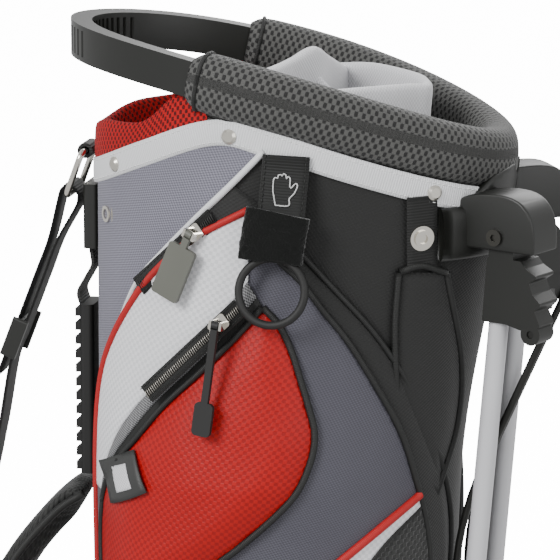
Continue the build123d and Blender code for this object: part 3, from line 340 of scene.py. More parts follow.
def soften(obj):
    """One round of subdivision, applied."""
    soft = obj.modifiers.new("soft", "SUBSURF")
    soft.levels = soft.render_levels = 1
    apply_modifiers(obj)


def shade_smooth(obj):
    obj.data.polygons.foreach_set("use_smooth", [True] * len(obj.data.polygons))


def round_section(radius, sides=10):
    return [(radius * math.cos(2 * math.pi * i / sides), radius * math.sin(2 * math.pi * i / sides))
            for i in range(sides)]


def flat_section(width, thickness, crown=0.0):
    """A flat tape's section, with rounded edges and a slight crown."""
    w, t = width / 2, thickness / 2
    return [(w, 0), (w - t * 0.4, t * 0.8), (w * 0.6, t + crown * 0.6), (0, t + crown),
            (-w * 0.6, t + crown * 0.6), (-w + t * 0.4, t * 0.8), (-w, 0), (-w + t * 0.4, -t * 0.8),
            (0, -t), (w - t * 0.4, -t * 0.8)]


def squared_section(half_width, half_height, power_across, power_up, sides):
    """An oval section; powers under one square its sides."""
    section = []
    for i in range(sides):
        turn = 2 * math.pi * i / sides
        c, s = math.cos(turn), math.sin(turn)
        section.append((half_width * math.copysign(abs(c) ** power_across, c),
                        half_height * math.copysign(abs(s) ** power_up, s)))
    return section


def sweep(name, path, section, material, across=None, closed=False, scales=None, **ride):
    """Carries a section along a path. across gives the section's first direction at each point."""
    path = [Vector(p) for p in path]
    count, sides = len(path), len(section)
    points, uv, run, last = [], [], 0.0, None
    for i, here in enumerate(path):
        if closed:
            ahead = path[(i + 1) % count] - path[i - 1]
        else:
            ahead = path[min(i + 1, count - 1)] - path[max(i - 1, 0)]
        ahead.normalize()
        if across is not None:
            first = Vector(across[i] if isinstance(across, list) else across)
        elif last is not None:
            first = last
        else:
            first = ahead.orthogonal()
        first = (first - ahead * first.dot(ahead)).normalized()
        second = ahead.cross(first)
        last = first
        if i:
            run += (here - path[i - 1]).length
        around = 0.0
        for j, (a, b) in enumerate(section):
            if j:
                around += math.hypot(a - section[j - 1][0], b - section[j - 1][1])
            size = scales[i] if scales else 1.0
            points.append(here + first * (a * size) + second * (b * size))
            uv.append((run, around))
    faces = []
    for i in range(count if closed else count - 1):
        for j in range(sides):
            k, n = (j + 1) % sides, (i + 1) % count
            faces.append((i * sides + j, n * sides + j, n * sides + k, i * sides + k))
    if not closed:
        faces.append(tuple(reversed(range(sides))))
        faces.append(tuple((count - 1) * sides + j for j in range(sides)))
    return piece(name, points, faces, material, uv, **ride)


def grid(name, rows, material, wrap=False, **ride):
    """A sheet over rows of points, with its cloth lengths as the texture's place."""
    high, wide = len(rows), len(rows[0])
    points = [p for row in rows for p in row]
    uv, down = [], 0.0
    middle = wide // 2
    for j, row in enumerate(rows):
        if j:
            down += (Vector(row[middle]) - Vector(rows[j - 1][middle])).length
        run = 0.0
        for i, p in enumerate(row):
            if i:
                run += (Vector(p) - Vector(row[i - 1])).length
            uv.append((run, down))
    faces = []
    for j in range(high - 1):
        for i in range(wide if wrap else wide - 1):
            k = (i + 1) % wide
            faces.append((j * wide + i, j * wide + k, (j + 1) * wide + k, (j + 1) * wide + i))
    return piece(name, points, faces, material, uv, **ride)


def stitches(name, path, normals, material, length=2.4, gap=1.2, radius=0.35, **ride):
    """A row of sewing stitches along a path, each a short thread that dips at both ends."""
    points, faces = [], []
    path = [Vector(p) for p in path]
    run = 0.0
    for a, b, normal in zip(path, path[1:], normals):
        span = (b - a).length
        ahead = (b - a).normalized()
        normal = Vector(normal)
        side = normal.cross(ahead).normalized()
        while run < span:
            start = len(points)
            for along, rise in ((0, -0.5), (0.25, 0.55), (0.75, 0.55), (1.0, -0.5)):
                here = a + ahead * (run + length * along) + normal * (radius * rise)
                for s, n in ((1, 0), (0, 1), (-1, 0), (0, -1)):
                    points.append(here + side * (radius * s) + normal * (radius * n * 0.7))
            for i in range(3):
                for j in range(4):
                    k = (j + 1) % 4
                    faces.append((start + i * 4 + j, start + i * 4 + k, start + i * 4 + 4 + k,
                                  start + i * 4 + 4 + j))
            faces.append((start + 3, start + 2, start + 1, start))
            faces.append((start + 12, start + 13, start + 14, start + 15))
            run += length + gap
        run -= span
    return piece(name, points, faces, material, **ride)


# ---- cloth panels on the bag's sides
def line_2d(points, step=3.0):
    """A smooth side-view line through (x, z) points, as an array."""
    return np.array([(p.x, p.y) for p in curve_through([(x, z, 0) for x, z in points], step)])


def closed(line):
    return np.vstack([line, line[:1]])


def nearest(line, x, z):
    """Distance from points to a side-view line, and the nearest places on it."""
    best = np.full(x.shape, 1e9)
    at = np.zeros(x.shape + (2,))
    for (ax, az), (bx, bz) in zip(line, line[1:]):
        dx, dz = bx - ax, bz - az
        t = np.clip(((x - ax) * dx + (z - az) * dz) / max(dx * dx + dz * dz, 1e-9), 0, 1)
        px, pz = ax + t * dx, az + t * dz
        d = np.hypot(x - px, z - pz)
        closer = d < best
        best = np.where(closer, d, best)
        at[closer, 0] = px[closer]
        at[closer, 1] = pz[closer]
    return best, at


def inside(line, x, z):
    """Which points lie in a closed side-view outline."""
    within = np.zeros(x.shape, bool)
    for (ax, az), (bx, bz) in zip(line, np.roll(line, -1, axis=0)):
        crosses = (az > z) != (bz > z)
        at = ax + (z - az) * (bx - ax) / (bz - az if bz != az else 1e-9)
        within ^= crosses & (x < at)
    return within


def skin(x, z, lift, side):
    """Points on the bag's side, lifted off it along its own slope."""
    y = side_y(x, z)
    nx = (x - centre_x(z)) / half_length(z) ** 2
    ny = y / half_width(z) ** 2
    size = np.maximum(np.hypot(nx, ny), 1e-9)
    small = np.minimum(lift, 4.0)
    return np.stack([x + small * nx / size, side * (y + small * ny / size + (lift - small)), z], axis=-1)


def skin_point(x, z, lift, side):
    """One point on the bag's side. lift is a height in millimetres, or a function of x and z."""
    x, z = np.array([float(x)]), np.array([float(z)])
    rise = lift(x, z) if callable(lift) else np.array([float(lift)])
    return Vector(skin(x, z, rise, side)[0])


def ruffle(x, z, size, seed):
    """Soft creases in cloth, from noise stretched along the bag."""
    folds = []
    for a, b in zip(x.ravel(), z.ravel()):
        here = Vector((a * 0.028 + seed, b * 0.016, seed * 1.7))
        folds.append(size * (noise.noise(here) + 0.5 * noise.noise(here * 2.3)))
    return np.array(folds).reshape(x.shape)


COLUMNS = 150               # round each side of the bag
FINE_ROW, COARSE_ROW = 2.6, 8.0
SNAP = 7                    # how far a corner may move to reach the outline
SIDE_RADIUS = 102           # mean radius of the side, which turns an angle into a cloth length


def panel(name, outline, lift, material, side, fine_above=535.0, creases=0.8, seed=1.0, thickness=0.8,
          **ride):
    """A cloth panel on the bag's side, cut to an outline in side view. lift(x, z) raises it."""
    line = np.array(outline)
    low, high = line[:, 1].min(), line[:, 1].max()
    zs = []
    z = low
    while z < high:
        zs.append(z)
        z += FINE_ROW if z >= fine_above else COARSE_ROW
    zs.append(high)
    turn = np.linspace(0, math.pi, COLUMNS)
    z = np.repeat(np.array(zs)[:, None], COLUMNS, axis=1)
    x = centre_x(z) - half_length(z) * np.cos(turn)[None, :]
    mid_x = (x[:-1, :-1] + x[1:, 1:] + x[:-1, 1:] + x[1:, :-1]) / 4
    mid_z = (z[:-1, :-1] + z[1:, 1:]) / 2
    kept = inside(line, mid_x, mid_z)
    padded = np.pad(kept, 1)
    touching = (padded[:-1, :-1].astype(int) + padded[1:, :-1] + padded[:-1, 1:] + padded[1:, 1:])
    edge = (touching > 0) & (touching < 4)
    gap, place = nearest(closed(line), x, z)
    snapped = edge & (gap < SNAP)
    x = np.where(snapped, place[..., 0], x)
    z = np.where(snapped, place[..., 1], z)
    top = np.clip(x, centre_x(z) - half_length(z), centre_x(z) + half_length(z))
    gap = np.where(snapped, 0, gap)
    rise = lift(top, z) + ruffle(top, z, creases, seed) * np.clip(gap / 18, 0, 1)
    points = skin(top, z, rise, side)
    index = -np.ones(x.shape, int)
    used = touching > 0
    index[used] = np.arange(used.sum())
    arc = np.arccos(np.clip((centre_x(z) - top) / half_length(z), -1, 1)) * SIDE_RADIUS
    uv = np.stack([arc, z], axis=-1)[used]
    faces = []
    for j, i in zip(*np.nonzero(kept)):
        quad = (index[j, i], index[j, i + 1], index[j + 1, i + 1], index[j + 1, i])
        faces.append(quad if side == RIGHT else quad[::-1])
    obj = piece(name, points[used], faces, material, uv, **ride)
    if thickness:
        thicken(obj, thickness)
    return obj


def seam(name, points, lift, material, side, radius, **ride):
    """Piping along a seam of the side panels."""
    line = line_2d(points)
    x, z = line[:, 0], line[:, 1]
    height = lift(x, z) if callable(lift) else np.full(x.shape, float(lift))
    path = [tuple(p) for p in skin(x, z, height, side)]
    return sweep(name, path, round_section(radius, 8), material, **ride)


# ---- body of the bag
band_curve = line_2d(BAND_LINE)
throat_curve = line_2d(THROAT_LINE)


def band_z(x):
    return np.interp(x, band_curve[:, 0], band_curve[:, 1])


def on_oval(turn, z, grow=0.0):
    """Point of the bag's oval at an angle from the spine, grown outwards."""
    a, b = half_length(z) + grow, half_width(z) + grow
    return (centre_x(z) - a * math.cos(turn), b * math.sin(turn), z)


def oval_height(turn, height):
    """The height that a side-view line has at an angle round the oval."""
    z = 800.0
    for _ in range(4):
        z = float(height(on_oval(turn, z)[0]))
    return z


TURNS = [2 * math.pi * i / 240 for i in range(240)]
TOPS = [oval_height(t, band_z) - 2 for t in TURNS]
BODY_LOW = 62.0
BODY_ROWS, LINING_ROWS = 120, 12
LINING_INSET = -2.6
rows = []
for j in range(BODY_ROWS + 1):
    share = j / BODY_ROWS
    row = []
    for t, top in zip(TURNS, TOPS):
        z = BODY_LOW + share * (top - BODY_LOW)
        fold = noise.noise(Vector((math.cos(t) * 2.5, math.sin(t) * 2.5, z * 0.012)))
        row.append(on_oval(t, z, 0.35 * fold))
    rows.append(row)
body = grid("body_fabric", rows, woven_black, wrap=True, slot="shell_fabric")
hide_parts("body_shell")
rows = [[on_oval(t, BODY_LOW + j / LINING_ROWS * (top - BODY_LOW), LINING_INSET)
         for t, top in zip(TURNS, TOPS)] for j in range(LINING_ROWS + 1)]
grid("body_lining", [row[::-1] for row in rows], lining_black, wrap=True, slot="shell_fabric")


def throat(name, turns, height, material):
    """The padded mesh above the band: outer face, rolled top edge and inner face."""
    steps = [(1.2, 0.0), (1.6, 0.35), (1.6, 0.7), (1.2, 0.9), (0.2, 0.985), (-1.4, 1.0), (-3.0, 0.97),
             (-3.8, 0.88), (-4.0, 0.6), (-4.0, 0.0), (-4.0, -1.2)]
    rows = []
    for grow, share in steps:
        row = []
        for t in turns:
            low = oval_height(t, band_z) - 4
            top = oval_height(t, height)
            row.append(on_oval(t, low + share * max(top - low, 6), grow))
        rows.append(row)
    made = grid(name, rows, material, slot="throat_mesh")
    soften(made)
    return made


def throat_top(x):
    return np.interp(x, throat_curve[:, 0], throat_curve[:, 1])


def under_cuff(x):
    return ring_z(x) - 19


THROAT_TOP_Z, RED_END_X = 840.0, -22      # where the red mesh gives way to the black
front_from = math.acos((centre_x(THROAT_TOP_Z) - RED_END_X) / half_length(THROAT_TOP_Z))
back_turns = [-front_from * 1.03 + 2.06 * front_from * i / 90 for i in range(91)]
throat_back = throat("throat_red_mesh", back_turns, throat_top, mesh_red)
front_turns = [front_from * 0.97 + (2 * math.pi - 1.94 * front_from) * i / 120 for i in range(121)]
throat("throat_front_mesh", front_turns, under_cuff, mesh_black)
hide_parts("throat_wall")

# white webbing round the rim, with a row of stitches near each edge
band_path, band_out, band_up = [], [], []
for t in TURNS:
    z = oval_height(t, band_z)
    x, y, z = on_oval(t, z, 1.3)
    band_path.append(Vector((x, y, z)))
    a, b = half_length(z), half_width(z)
    band_out.append(Vector(((x - centre_x(z)) / a ** 2, y / b ** 2, 0)).normalized())
for i, here in enumerate(band_path):
    ahead = (band_path[(i + 1) % len(band_path)] - band_path[i - 1]).normalized()
    band_up.append(band_out[i].cross(ahead).normalized())
band = sweep("rim_band_webbing", band_path, flat_section(15.5, 2.0, 0.3), webbing_white, band_up,
             closed=True, slot="white_webbing")
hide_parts("rim_band")
for name, rise in (("high", 5.6), ("low", -5.6)):
    line = [p + u * rise + n * 1.1 for p, u, n in zip(band_path, band_up, band_out)]
    stitches("band_stitches_" + name, line + line[:1], band_out, thread_white, 2.6, 1.0, 0.32,
             slot="white_webbing")

# ---- padded cuff on the carry ring
cuff_turn = math.acos((CUFF_START_X - RING_X) / RING_HALF_LENGTH)
steps = 130
cuff_path, cuff_out, cuff_size = [], [], []
for i in range(steps + 1):
    turn = -cuff_turn + 2 * cuff_turn * i / steps
    x = RING_X + RING_HALF_LENGTH * math.cos(turn)
    cuff_path.append(Vector((x, RING_HALF_WIDTH * math.sin(turn), ring_z(x))))
    cuff_out.append(Vector((math.cos(turn) / RING_HALF_LENGTH, math.sin(turn) / RING_HALF_WIDTH,
                            0)).normalized())
    end = min(i, steps - i)
    cuff_size.append([0.72, 0.9, 0.97, 0.99][end] if end < 4 else 1.0)
section = squared_section(13, 17.8, 0.8, 0.72, 28)
cuff = sweep("cuff_spacer_mesh", cuff_path, section, mesh_dark, cuff_out, scales=cuff_size,
             slot="cuff_mesh")
soften(cuff)
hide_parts("cuff_padding")
# bound ends and the seam that closes the cuff underneath
for name, at in (("right", 2), ("left", steps - 2)):
    ahead = (cuff_path[at + 1] - cuff_path[at - 1]).normalized()
    up = ahead.cross(cuff_out[at])
    ring = [cuff_path[at] + cuff_out[at] * (a * 0.97) + up * (b * 0.97) for a, b in section]
    sweep("cuff_binding_" + name, ring, round_section(1.3, 8), piping_black, closed=True,
          slot="cuff_mesh")
seam_path = [p + o * 5 - Vector((0, 0, 17.4)) for p, o in zip(cuff_path, cuff_out)][3:-3]
sweep("cuff_closing_seam", seam_path, round_section(1.1, 6), piping_black, slot="cuff_mesh")

# ---- padded club dividers
REAR_TOP = [(5, -69, 861), (14, -50, 863), (20, -26, 864.5), (28.5, 0, 868.5), (33, 20, 861),
            (37, 50, 851), (38, 68, 847)]
FRONT_TOP = [(40, -66, 846), (48, -58, 850.5), (72, -30, 850), (90, -9, 849), (98, 0, 848), (96, 9, 850),
             (87, 20, 852), (59, 45, 853), (34, 62, 850), (26, 68, 848)]
CENTRE_TOP = [(31, 0, 852), (50, 0, 838), (92, 0, 836)]
KNIT_DEPTH, CENTRE_KNIT_DEPTH = 34.0, 8.0
DIVIDER_FOOT = 562.0
ROLLED_EDGE = [(0.0, 0.0), (1.8, 0.5), (3.1, 1.8), (3.6, 3.6)]


def divider(name, top, nodes, knit_depth):
    """A padded divider along a drooping top line: light knit over the edge, dark mesh below it."""
    line = curve_through(top, 4.0)
    sideways = []
    for i, here in enumerate(line):
        ahead = line[min(i + 1, len(line) - 1)] - line[max(i - 1, 0)]
        sideways.append(Vector((ahead.y, -ahead.x, 0)).normalized())
    knit = ROLLED_EDGE + [(3.8 - 0.1 * i, 3.6 + (knit_depth - 3.6) * i / 9) for i in range(1, 10)]
    mesh = [(2.4, knit_depth - 3)] + [(2.4, knit_depth + 28 * i) for i in range(1, 12)]
    for part, section, material in (("knit", knit, knit_grey), ("mesh", mesh, mesh_dark)):
        both_sides = [(-off, down) for off, down in reversed(section)] + \
                     [(off, down) for off, down in section[1 if part == "knit" else 0:]]
        rows = []
        for off, down in both_sides:
            row = []
            for p, aside in zip(line, sideways):
                here = p + aside * (off + 1.2 * math.sin(p.y * 0.09 + p.x * 0.05) * min(1.0, down / 20))
                row.append((here.x, here.y, max(p.z - down, DIVIDER_FOOT)))
            rows.append(row)
        made = grid(name + "_" + part, rows, material, slot="divider_fabric")
        if part == "knit":
            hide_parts(*nodes)


divider("divider_rear", REAR_TOP, ["divider_rear", "divider_bindings"], KNIT_DEPTH)
divider("divider_front", FRONT_TOP, ["divider_front"], KNIT_DEPTH)
divider("divider_centre", CENTRE_TOP, ["divider_centre"], CENTRE_KNIT_DEPTH)

# ---- side panels and pockets
WHITE_SEAM = [(17, 819), (-3, 798), (-23, 778), (-44, 756), (-63, 734), (-76, 707), (-88, 675),
              (-95, 640), (-98, 600), (-99, 540), (-99, 420), (-97, 260), (-92, 106)]
RED_SEAM = [(8, 784), (-12, 773), (-28, 763), (-54, 737), (-72, 710), (-84, 685), (-90, 662),
            (-93, 635), (-94, 600), (-93, 540), (-92, 420), (-90, 260), (-84, 122)]
OUTER_SEAM = [(17, 785), (28, 770), (40, 757), (57, 738), (74, 718), (86, 700), (97.5, 677), (107, 648),
              (114, 620), (117, 599), (118, 576), (117, 540), (114, 420), (108, 260), (100, 106)]
INNER_SEAM = [(8, 776), (26, 756), (39, 744), (51.5, 727), (69, 702), (91, 656), (101, 617), (107, 580),
              (108, 540), (106, 420), (101, 260), (92, 122)]
ZIP_HIGH = [(9, 742), (-3, 725), (-17, 708), (-33, 690), (-53, 669), (-71, 645), (-82, 622), (-88, 600)]
ZIP_LOW = [(18, 728), (2, 709), (-18, 688), (-41, 665), (-60, 641), (-72, 626), (-81, 611), (-86, 596)]
LEAF_RIGHT = [(18, 728), (27.5, 718), (34.6, 703.5), (40.4, 685.5), (45, 670), (48.5, 655), (47.3, 640),
              (40.4, 621), (28.8, 606), (4.8, 583), (-28, 556), (-52, 530), (-70, 500), (-80, 470)]
LEAF_LEFT = [(-86, 596), (-88, 570), (-86, 530), (-80, 470)]
STRIPE = [(103, 608), (85, 594), (60, 573), (36, 550), (12, 520), (-4, 480)]
MESH_EDGE = [(104, 600), (86, 582), (70, 558), (56, 525), (50, 480)]

face_edge = np.vstack([line_2d(RED_SEAM), line_2d(INNER_SEAM)[::-1]])
pocket_edge = np.vstack([line_2d(WHITE_SEAM[1:]), line_2d(OUTER_SEAM)[::-1]])
leaf_edge = np.vstack([line_2d(ZIP_LOW), line_2d(LEAF_LEFT)[1:], line_2d(LEAF_RIGHT)[::-1]])


def edge_height(z):
    """How far the pocket's corded edge stands off the bag."""
    return np.minimum(level(GARMENT_BULGE, z), 8.5)


def face_lift(x, z):
    """The stuffed front of the garment pocket, crowned between its corded edges."""
    gap, _ = nearest(closed(face_edge), x, z)
    share = np.clip(gap / 42, 0, 1)
    low = edge_height(z)
    full = np.maximum(level(GARMENT_BULGE, z), low)
    return low + (full - low) * (1 - (1 - share) ** 2)


def gusset_lift(x, z):
    """The strip between the pocket's two corded edges rises from the bag to the pocket's front."""
    inner, _ = nearest(closed(face_edge), x, z)
    outer, _ = nearest(closed(pocket_edge), x, z)
    share = outer / np.maximum(inner + outer, 0.01)
    return 1.0 + (edge_height(z) - 1.0) * share ** 0.8 * np.where(share > 0.02, 1, 0.5)


def leaf_lift(x, z):
    """The valuables pocket, a thinner cushion on the garment pocket's front."""
    gap, _ = nearest(closed(leaf_edge), x, z)
    share = np.clip(gap / 24, 0, 1)
    return face_lift(x, z) + 1.2 + level(VALUABLES_BULGE, z) * (1 - (1 - share) ** 2)


def raised(lift, by):
    return lambda x, z: lift(x, z) + by


def both(*lines):
    return np.vstack([line_2d(line) if isinstance(line, list) else line for line in lines])


HANDS = ((RIGHT, "right"), (LEFT, "left"))
FLAP_SHARE, FLAP_COLUMNS = 0.6, 30
for side, hand in HANDS:
    rim = [(x, float(band_z(x))) for x in range(-97, 18, 6)]
    outline = np.vstack([[(-97, 622)], rim, line_2d(WHITE_SEAM[:8])])
    panel("side_panel_grey_" + hand, outline, lambda x, z: 1.5 + 0 * x, ripstop_grey, side, 500, 1.1,
          3.0, slot="shell_fabric")
    panel("pocket_gusset_" + hand, pocket_edge, gusset_lift, woven_black, side, creases=0.3, seed=5.0,
          slot="shell_fabric")
    face = panel("pocket_front_slate_" + hand, face_edge, face_lift, ripstop_dark, side, creases=1.5,
                 seed=7.0, slot="pocket_fabric")
    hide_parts("garment_pocket_" + hand)
    white = both(RED_SEAM[:9], ZIP_HIGH[::-1])
    panel("pocket_front_white_" + hand, white, raised(face_lift, 1.3), dobby_white, side, creases=1.5,
          seed=7.0, slot="pocket_fabric")
    panel("pocket_zip_ground_" + hand, both(ZIP_HIGH, ZIP_LOW[::-1]), raised(face_lift, 2.0), tape_black,
          side, creases=0, slot="zip_tape")
    leaf = leaf_lift if side == RIGHT else raised(face_lift, 1.6)
    red = panel("valuables_leaf_red_" + hand, leaf_edge, leaf, dobby_red, side, 440, 1.2, 7.0,
                slot="red_fabric")
    if side == RIGHT:
        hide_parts("valuables_pocket")
    wedge = both(STRIPE, MESH_EDGE[::-1])
    panel("pocket_wedge_white_" + hand, wedge, raised(face_lift, 1.3), dobby_white, side, creases=1.5,
          seed=7.0, slot="pocket_fabric")
    corner = both(MESH_EDGE, [(50, 480), (60, 450), (90, 432), (107, 430)], [(107, 430), (108, 540),
                  (107, 580), (104, 600)])
    panel("pocket_mesh_corner_" + hand, corner, raised(face_lift, 1.3), mesh_black, side, creases=1.5,
          seed=7.0, slot="black_mesh")
    for name, line, lift, material, radius in (
            ("white", WHITE_SEAM[:8], 2.0, piping_white, 2.0),
            ("red", RED_SEAM, raised(face_lift, 1.0), piping_red, 2.3),
            ("outer", OUTER_SEAM, raised(gusset_lift, 1.0), piping_black, 2.1),
            ("inner", INNER_SEAM, raised(face_lift, 1.0), piping_black, 2.1),
            ("leaf", LEAF_RIGHT, raised(face_lift, 2.2), piping_black, 2.2),
            ("leaf_left", LEAF_LEFT, raised(face_lift, 2.2), piping_black, 1.8),
            ("zip_low", ZIP_LOW, raised(face_lift, 2.8), piping_black, 1.9),
            ("stripe", STRIPE, raised(face_lift, 1.6), piping_red, 2.6),
            ("mesh_edge", MESH_EDGE, raised(face_lift, 1.6), piping_black, 1.0)):
        seam("piping_" + name + "_" + hand, line, lift, material, side, radius, slot="shell_fabric")
    # silver-grey flap that covers most of the inner zip
    upper, lower = line_2d(ZIP_HIGH, 4.0), line_2d(ZIP_LOW, 4.0)
    rows = []
    for share in (0.0, 0.12, 0.3, 0.48, FLAP_SHARE):
        row = []
        rise = 2.3 + 1.6 * math.sin(math.pi * share / FLAP_SHARE)
        for i in range(FLAP_COLUMNS):
            a = upper[int(i * (len(upper) - 1) / (FLAP_COLUMNS - 1))]
            b = lower[int(i * (len(lower) - 1) / (FLAP_COLUMNS - 1))]
            x, z = a + (b - a) * share
            row.append(skin_point(x, z, raised(face_lift, rise), side))
        rows.append(row)
    flap = grid("zip_flap_silver_" + hand, rows if side == RIGHT else rows[::-1], tape_silver,
                slot="zip_tape")
    thicken(flap, 0.8)


# ---- zips
def helix(start, along, out, length, width, height, pitch):
    """The centreline of a zip's coil, in eight steps a turn."""
    across = along.cross(out).normalized()
    count = int(length / pitch * 8)
    return [start + along * (length * i / count) + across * (width * math.cos(i * math.pi / 4))
            + out * (height * math.sin(i * math.pi / 4)) for i in range(count)]


PULL_PIN_RISE = 6.3         # a slider's pin above its coil
ZIP_LEAD = 16               # zip that shows beyond each end of the slider's travel
ZIP_OUT = Vector((-0.32, -0.95, 0.05))
STITCH_EDGE = 4.6
for name, pin, along, travel in (
        ("main", Vector((-26.68, -95.24, 768.48)), Vector((-0.7098, 0.1847, -0.6798)), 36),
        ("inner", Vector((-7.07, -113.16, 718.75)), Vector((-0.7085, 0.1086, -0.6973)), 50)):
    out = (ZIP_OUT - along * ZIP_OUT.dot(along)).normalized()
    start = pin - out * PULL_PIN_RISE - along * ZIP_LEAD
    length = travel + 2 * ZIP_LEAD
    tape = sweep("zip_ground_" + name, [start - out * 0.6, start + along * length - out * 0.6],
                 flat_section(12.0, 1.0), tape_black, along.cross(out), slot="zip_tape")
    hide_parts("zip_tape_" + name)
    sweep("zip_coil_" + name, helix(start, along, out, length, 2.1, 0.7, 1.5), round_section(0.4, 5),
          nickel_dull if name == "inner" else thread_black, slot="zip_metal")
    for side in (-1, 1):
        edge = along.cross(out) * (side * STITCH_EDGE)
        stitches("zip_stitches_" + name + ("_a" if side < 0 else "_b"),
                 [start + edge, start + along * length + edge], [out], thread_black, 2.0, 1.0, 0.25,
                 slot="zip_tape")

# ---- glove tab, label and umbrella sleeve
PLATE_X, PLATE_Y, PLATE_Z = 29.3, -94.5, 806
plate_path = [Vector((30.3, -92.3, 817)), Vector((30, -94.5, 806)), Vector((29.2, -97.6, 792)),
              Vector((28.6, -100.3, 780))]
plate = sweep("glove_tab_plate", plate_path, flat_section(28.0, 2.6, 0.2), webbing_black, (1, 0, -0.04),
              slot="black_webbing")
PILE_SEED = 7               # so that the pile is the same every time
pile_path = [(27.5, -101.5, 785), (25.5, -103.2, 774), (24, -105, 763), (23.5, -106, 756.5)]
pile = sweep("glove_tab_pile", curve_through(pile_path, 1.2), squared_section(19, 4.6, 0.5, 0.7, 48),
             loop_pile, (1, 0, -0.12), slot="black_webbing")
noise.seed_set(PILE_SEED)
for vertex in pile.data.vertices:
    here = vertex.co / MM
    vertex.co += Vector((0, -1, 0)) * (0.9 * MM * noise.noise(here * 0.5)) \
        + noise.noise_vector(here * 0.9) * (0.7 * MM)
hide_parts("glove_tab")
for edge in (-12.0, 12.0):
    line = [p + Vector((edge, -1.6, -0.04 * edge)) for p in plate_path]
    stitches("glove_tab_stitches_" + ("left" if edge < 0 else "right"), line, [(0, -0.97, 0.2)] * 3,
             thread_black, 2.2, 1.0, 0.3, slot="black_webbing")
# a plain open hand in outline
GLOVE = [(-4.4, -9.5), (4.2, -9.5), (4.6, -5), (7.6, -1.6), (9.6, 3.2), (8.2, 4.6), (5.4, 1.6), (4.6, 2.6),
         (4.6, 7.6), (3.2, 8.8), (2.2, 7.4), (1.8, 9.6), (0.2, 10.6), (-0.8, 9.0), (-1.6, 10.0),
         (-3.2, 9.6), (-3.6, 7.6), (-5.2, 8.0), (-6.2, 6.4), (-6.4, 0.5), (-5.6, -4.0)]
GLOVE_SCALE, GLOVE_Z, PLATE_LEAN = 0.9, 797.5, 0.222
outline = []
for a, b in GLOVE + GLOVE[:1]:
    z = GLOVE_Z + b * GLOVE_SCALE
    outline.append((PLATE_X + a * GLOVE_SCALE, PLATE_Y - (PLATE_Z - z) * PLATE_LEAN - 1.9, z))
sweep("glove_outline", curve_through(outline, 1.0), round_section(0.42, 6), thread_pale,
      slot="label_fabric")



def label_sheet(low, high, left, right, lift):
    """Part of the folded label, from shares of its width and height; it bows over the red pocket."""
    rows = []
    for j in range(9):
        v = low + (high - low) * j / 8
        row = []
        for i in range(9):
            u = left + (right - left) * i / 8
            x = LABEL_X + 27 * v + 11 * (u - 0.5)
            z = LABEL_Z + 15 * v - 22 * (u - 0.5)
            row.append(skin_point(x, z, raised(leaf_lift, lift + 1.2 * math.sin(math.pi * u)), RIGHT))
        rows.append(row)
    return rows


# folded woven label, with a plain pale patch
LABEL_X, LABEL_Z = -81.5, 610
label = grid("label_folded", label_sheet(0.0, 1.0, 0.0, 1.0, 3.0), satin_label, slot="label_fabric")
thicken(label, 1.2)
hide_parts("pocket_label")
thicken(grid("label_patch", label_sheet(0.3, 0.72, 0.22, 0.78, 3.5), knit_grey, slot="label_fabric"), 0.3)

SLEEVE_LEFT = [(93, 747), (90.5, 705), (94, 654), (111, 604)]
SLEEVE_RIGHT = [(111, 604), (121, 645), (124, 690), (118, 744)]
sleeve_edge = np.vstack([line_2d(SLEEVE_LEFT), line_2d(SLEEVE_RIGHT)[1:]])


def sleeve_lift(x, z):
    gap, _ = nearest(closed(sleeve_edge), x, z)
    return 2.0 + 2.6 * (1 - (1 - np.clip(gap / 12, 0, 1)) ** 2)


sleeve = panel("umbrella_sleeve_cloth", sleeve_edge, sleeve_lift, woven_black, RIGHT, creases=0.5,
               seed=9.0, slot="shell_fabric")
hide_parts("umbrella_sleeve")
for name, line, lift in (("left", SLEEVE_LEFT, 2.6), ("right", SLEEVE_RIGHT, 2.6),
                         ("top", [(93, 747), (105, 750), (118, 744)], 2.8)):
    seam("piping_sleeve_" + name, line, lift, piping_black, RIGHT, 2.2, slot="shell_fabric")
STRAP_X = 105.5
strap_path = [skin_point(STRAP_X, z, 2.4, RIGHT) for z in range(748, 796, 4)]
normal = Vector(((STRAP_X - 22) / 125 ** 2, -60 / 88.5 ** 2, 0)).normalized()
sleeve_strap = sweep("umbrella_strap_webbing", strap_path, flat_section(20.0, 1.6, 0.1), webbing_black,
                     normal.cross(Vector((0, 0, 1))), slot="black_webbing")
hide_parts("umbrella_strap")

# ---- leg bracket with its two hoods
SPLAY = math.radians(25)
PIVOT_X, PIVOT_Y, PIVOT_Z = 155, 52, 768
HOOD = [(-33, -8), (-34, 4), (-30, 15), (-22, 22), (-8, 25), (8, 25), (18, 21), (24, 13), (26, 3),
        (26, -8)]
HOLLOW = [(-31, -30), (-31, 3), (-27.5, 12), (-21, 18.6), (-8, 21.6), (8, 21.6), (40, 21.6), (40, -30)]
WING = [(121, 762), (123, 776), (132, 788), (142, 799), (150.2, 803), (151, 757), (124, 755)]
HOOD_HALF, HOLLOW_HALF = 13.6, 11.2


def swing_point(side, d, v, n):
    """A point in a leg's swing plane, n millimetres to its outer side."""
    return Vector((PIVOT_X + d * math.cos(SPLAY) - n * math.sin(SPLAY),
                   side * (PIVOT_Y + d * math.sin(SPLAY) + n * math.cos(SPLAY)), PIVOT_Z + v))


def prism(name, side, outline, half):
    """A flat moulding in a leg's swing plane, from its outline."""
    count = len(outline)
    points = [swing_point(side, d, v, n) for n in (-half, half) for d, v in outline]
    faces = [tuple(range(count)), tuple(reversed(range(count, 2 * count)))]
    faces += [(i, i + count, (i + 1) % count + count, (i + 1) % count) for i in range(count)]
    if side == RIGHT:
        faces = [face[::-1] for face in faces]
    return piece(name, points, faces, nylon_moulded, slot="black_plastic")


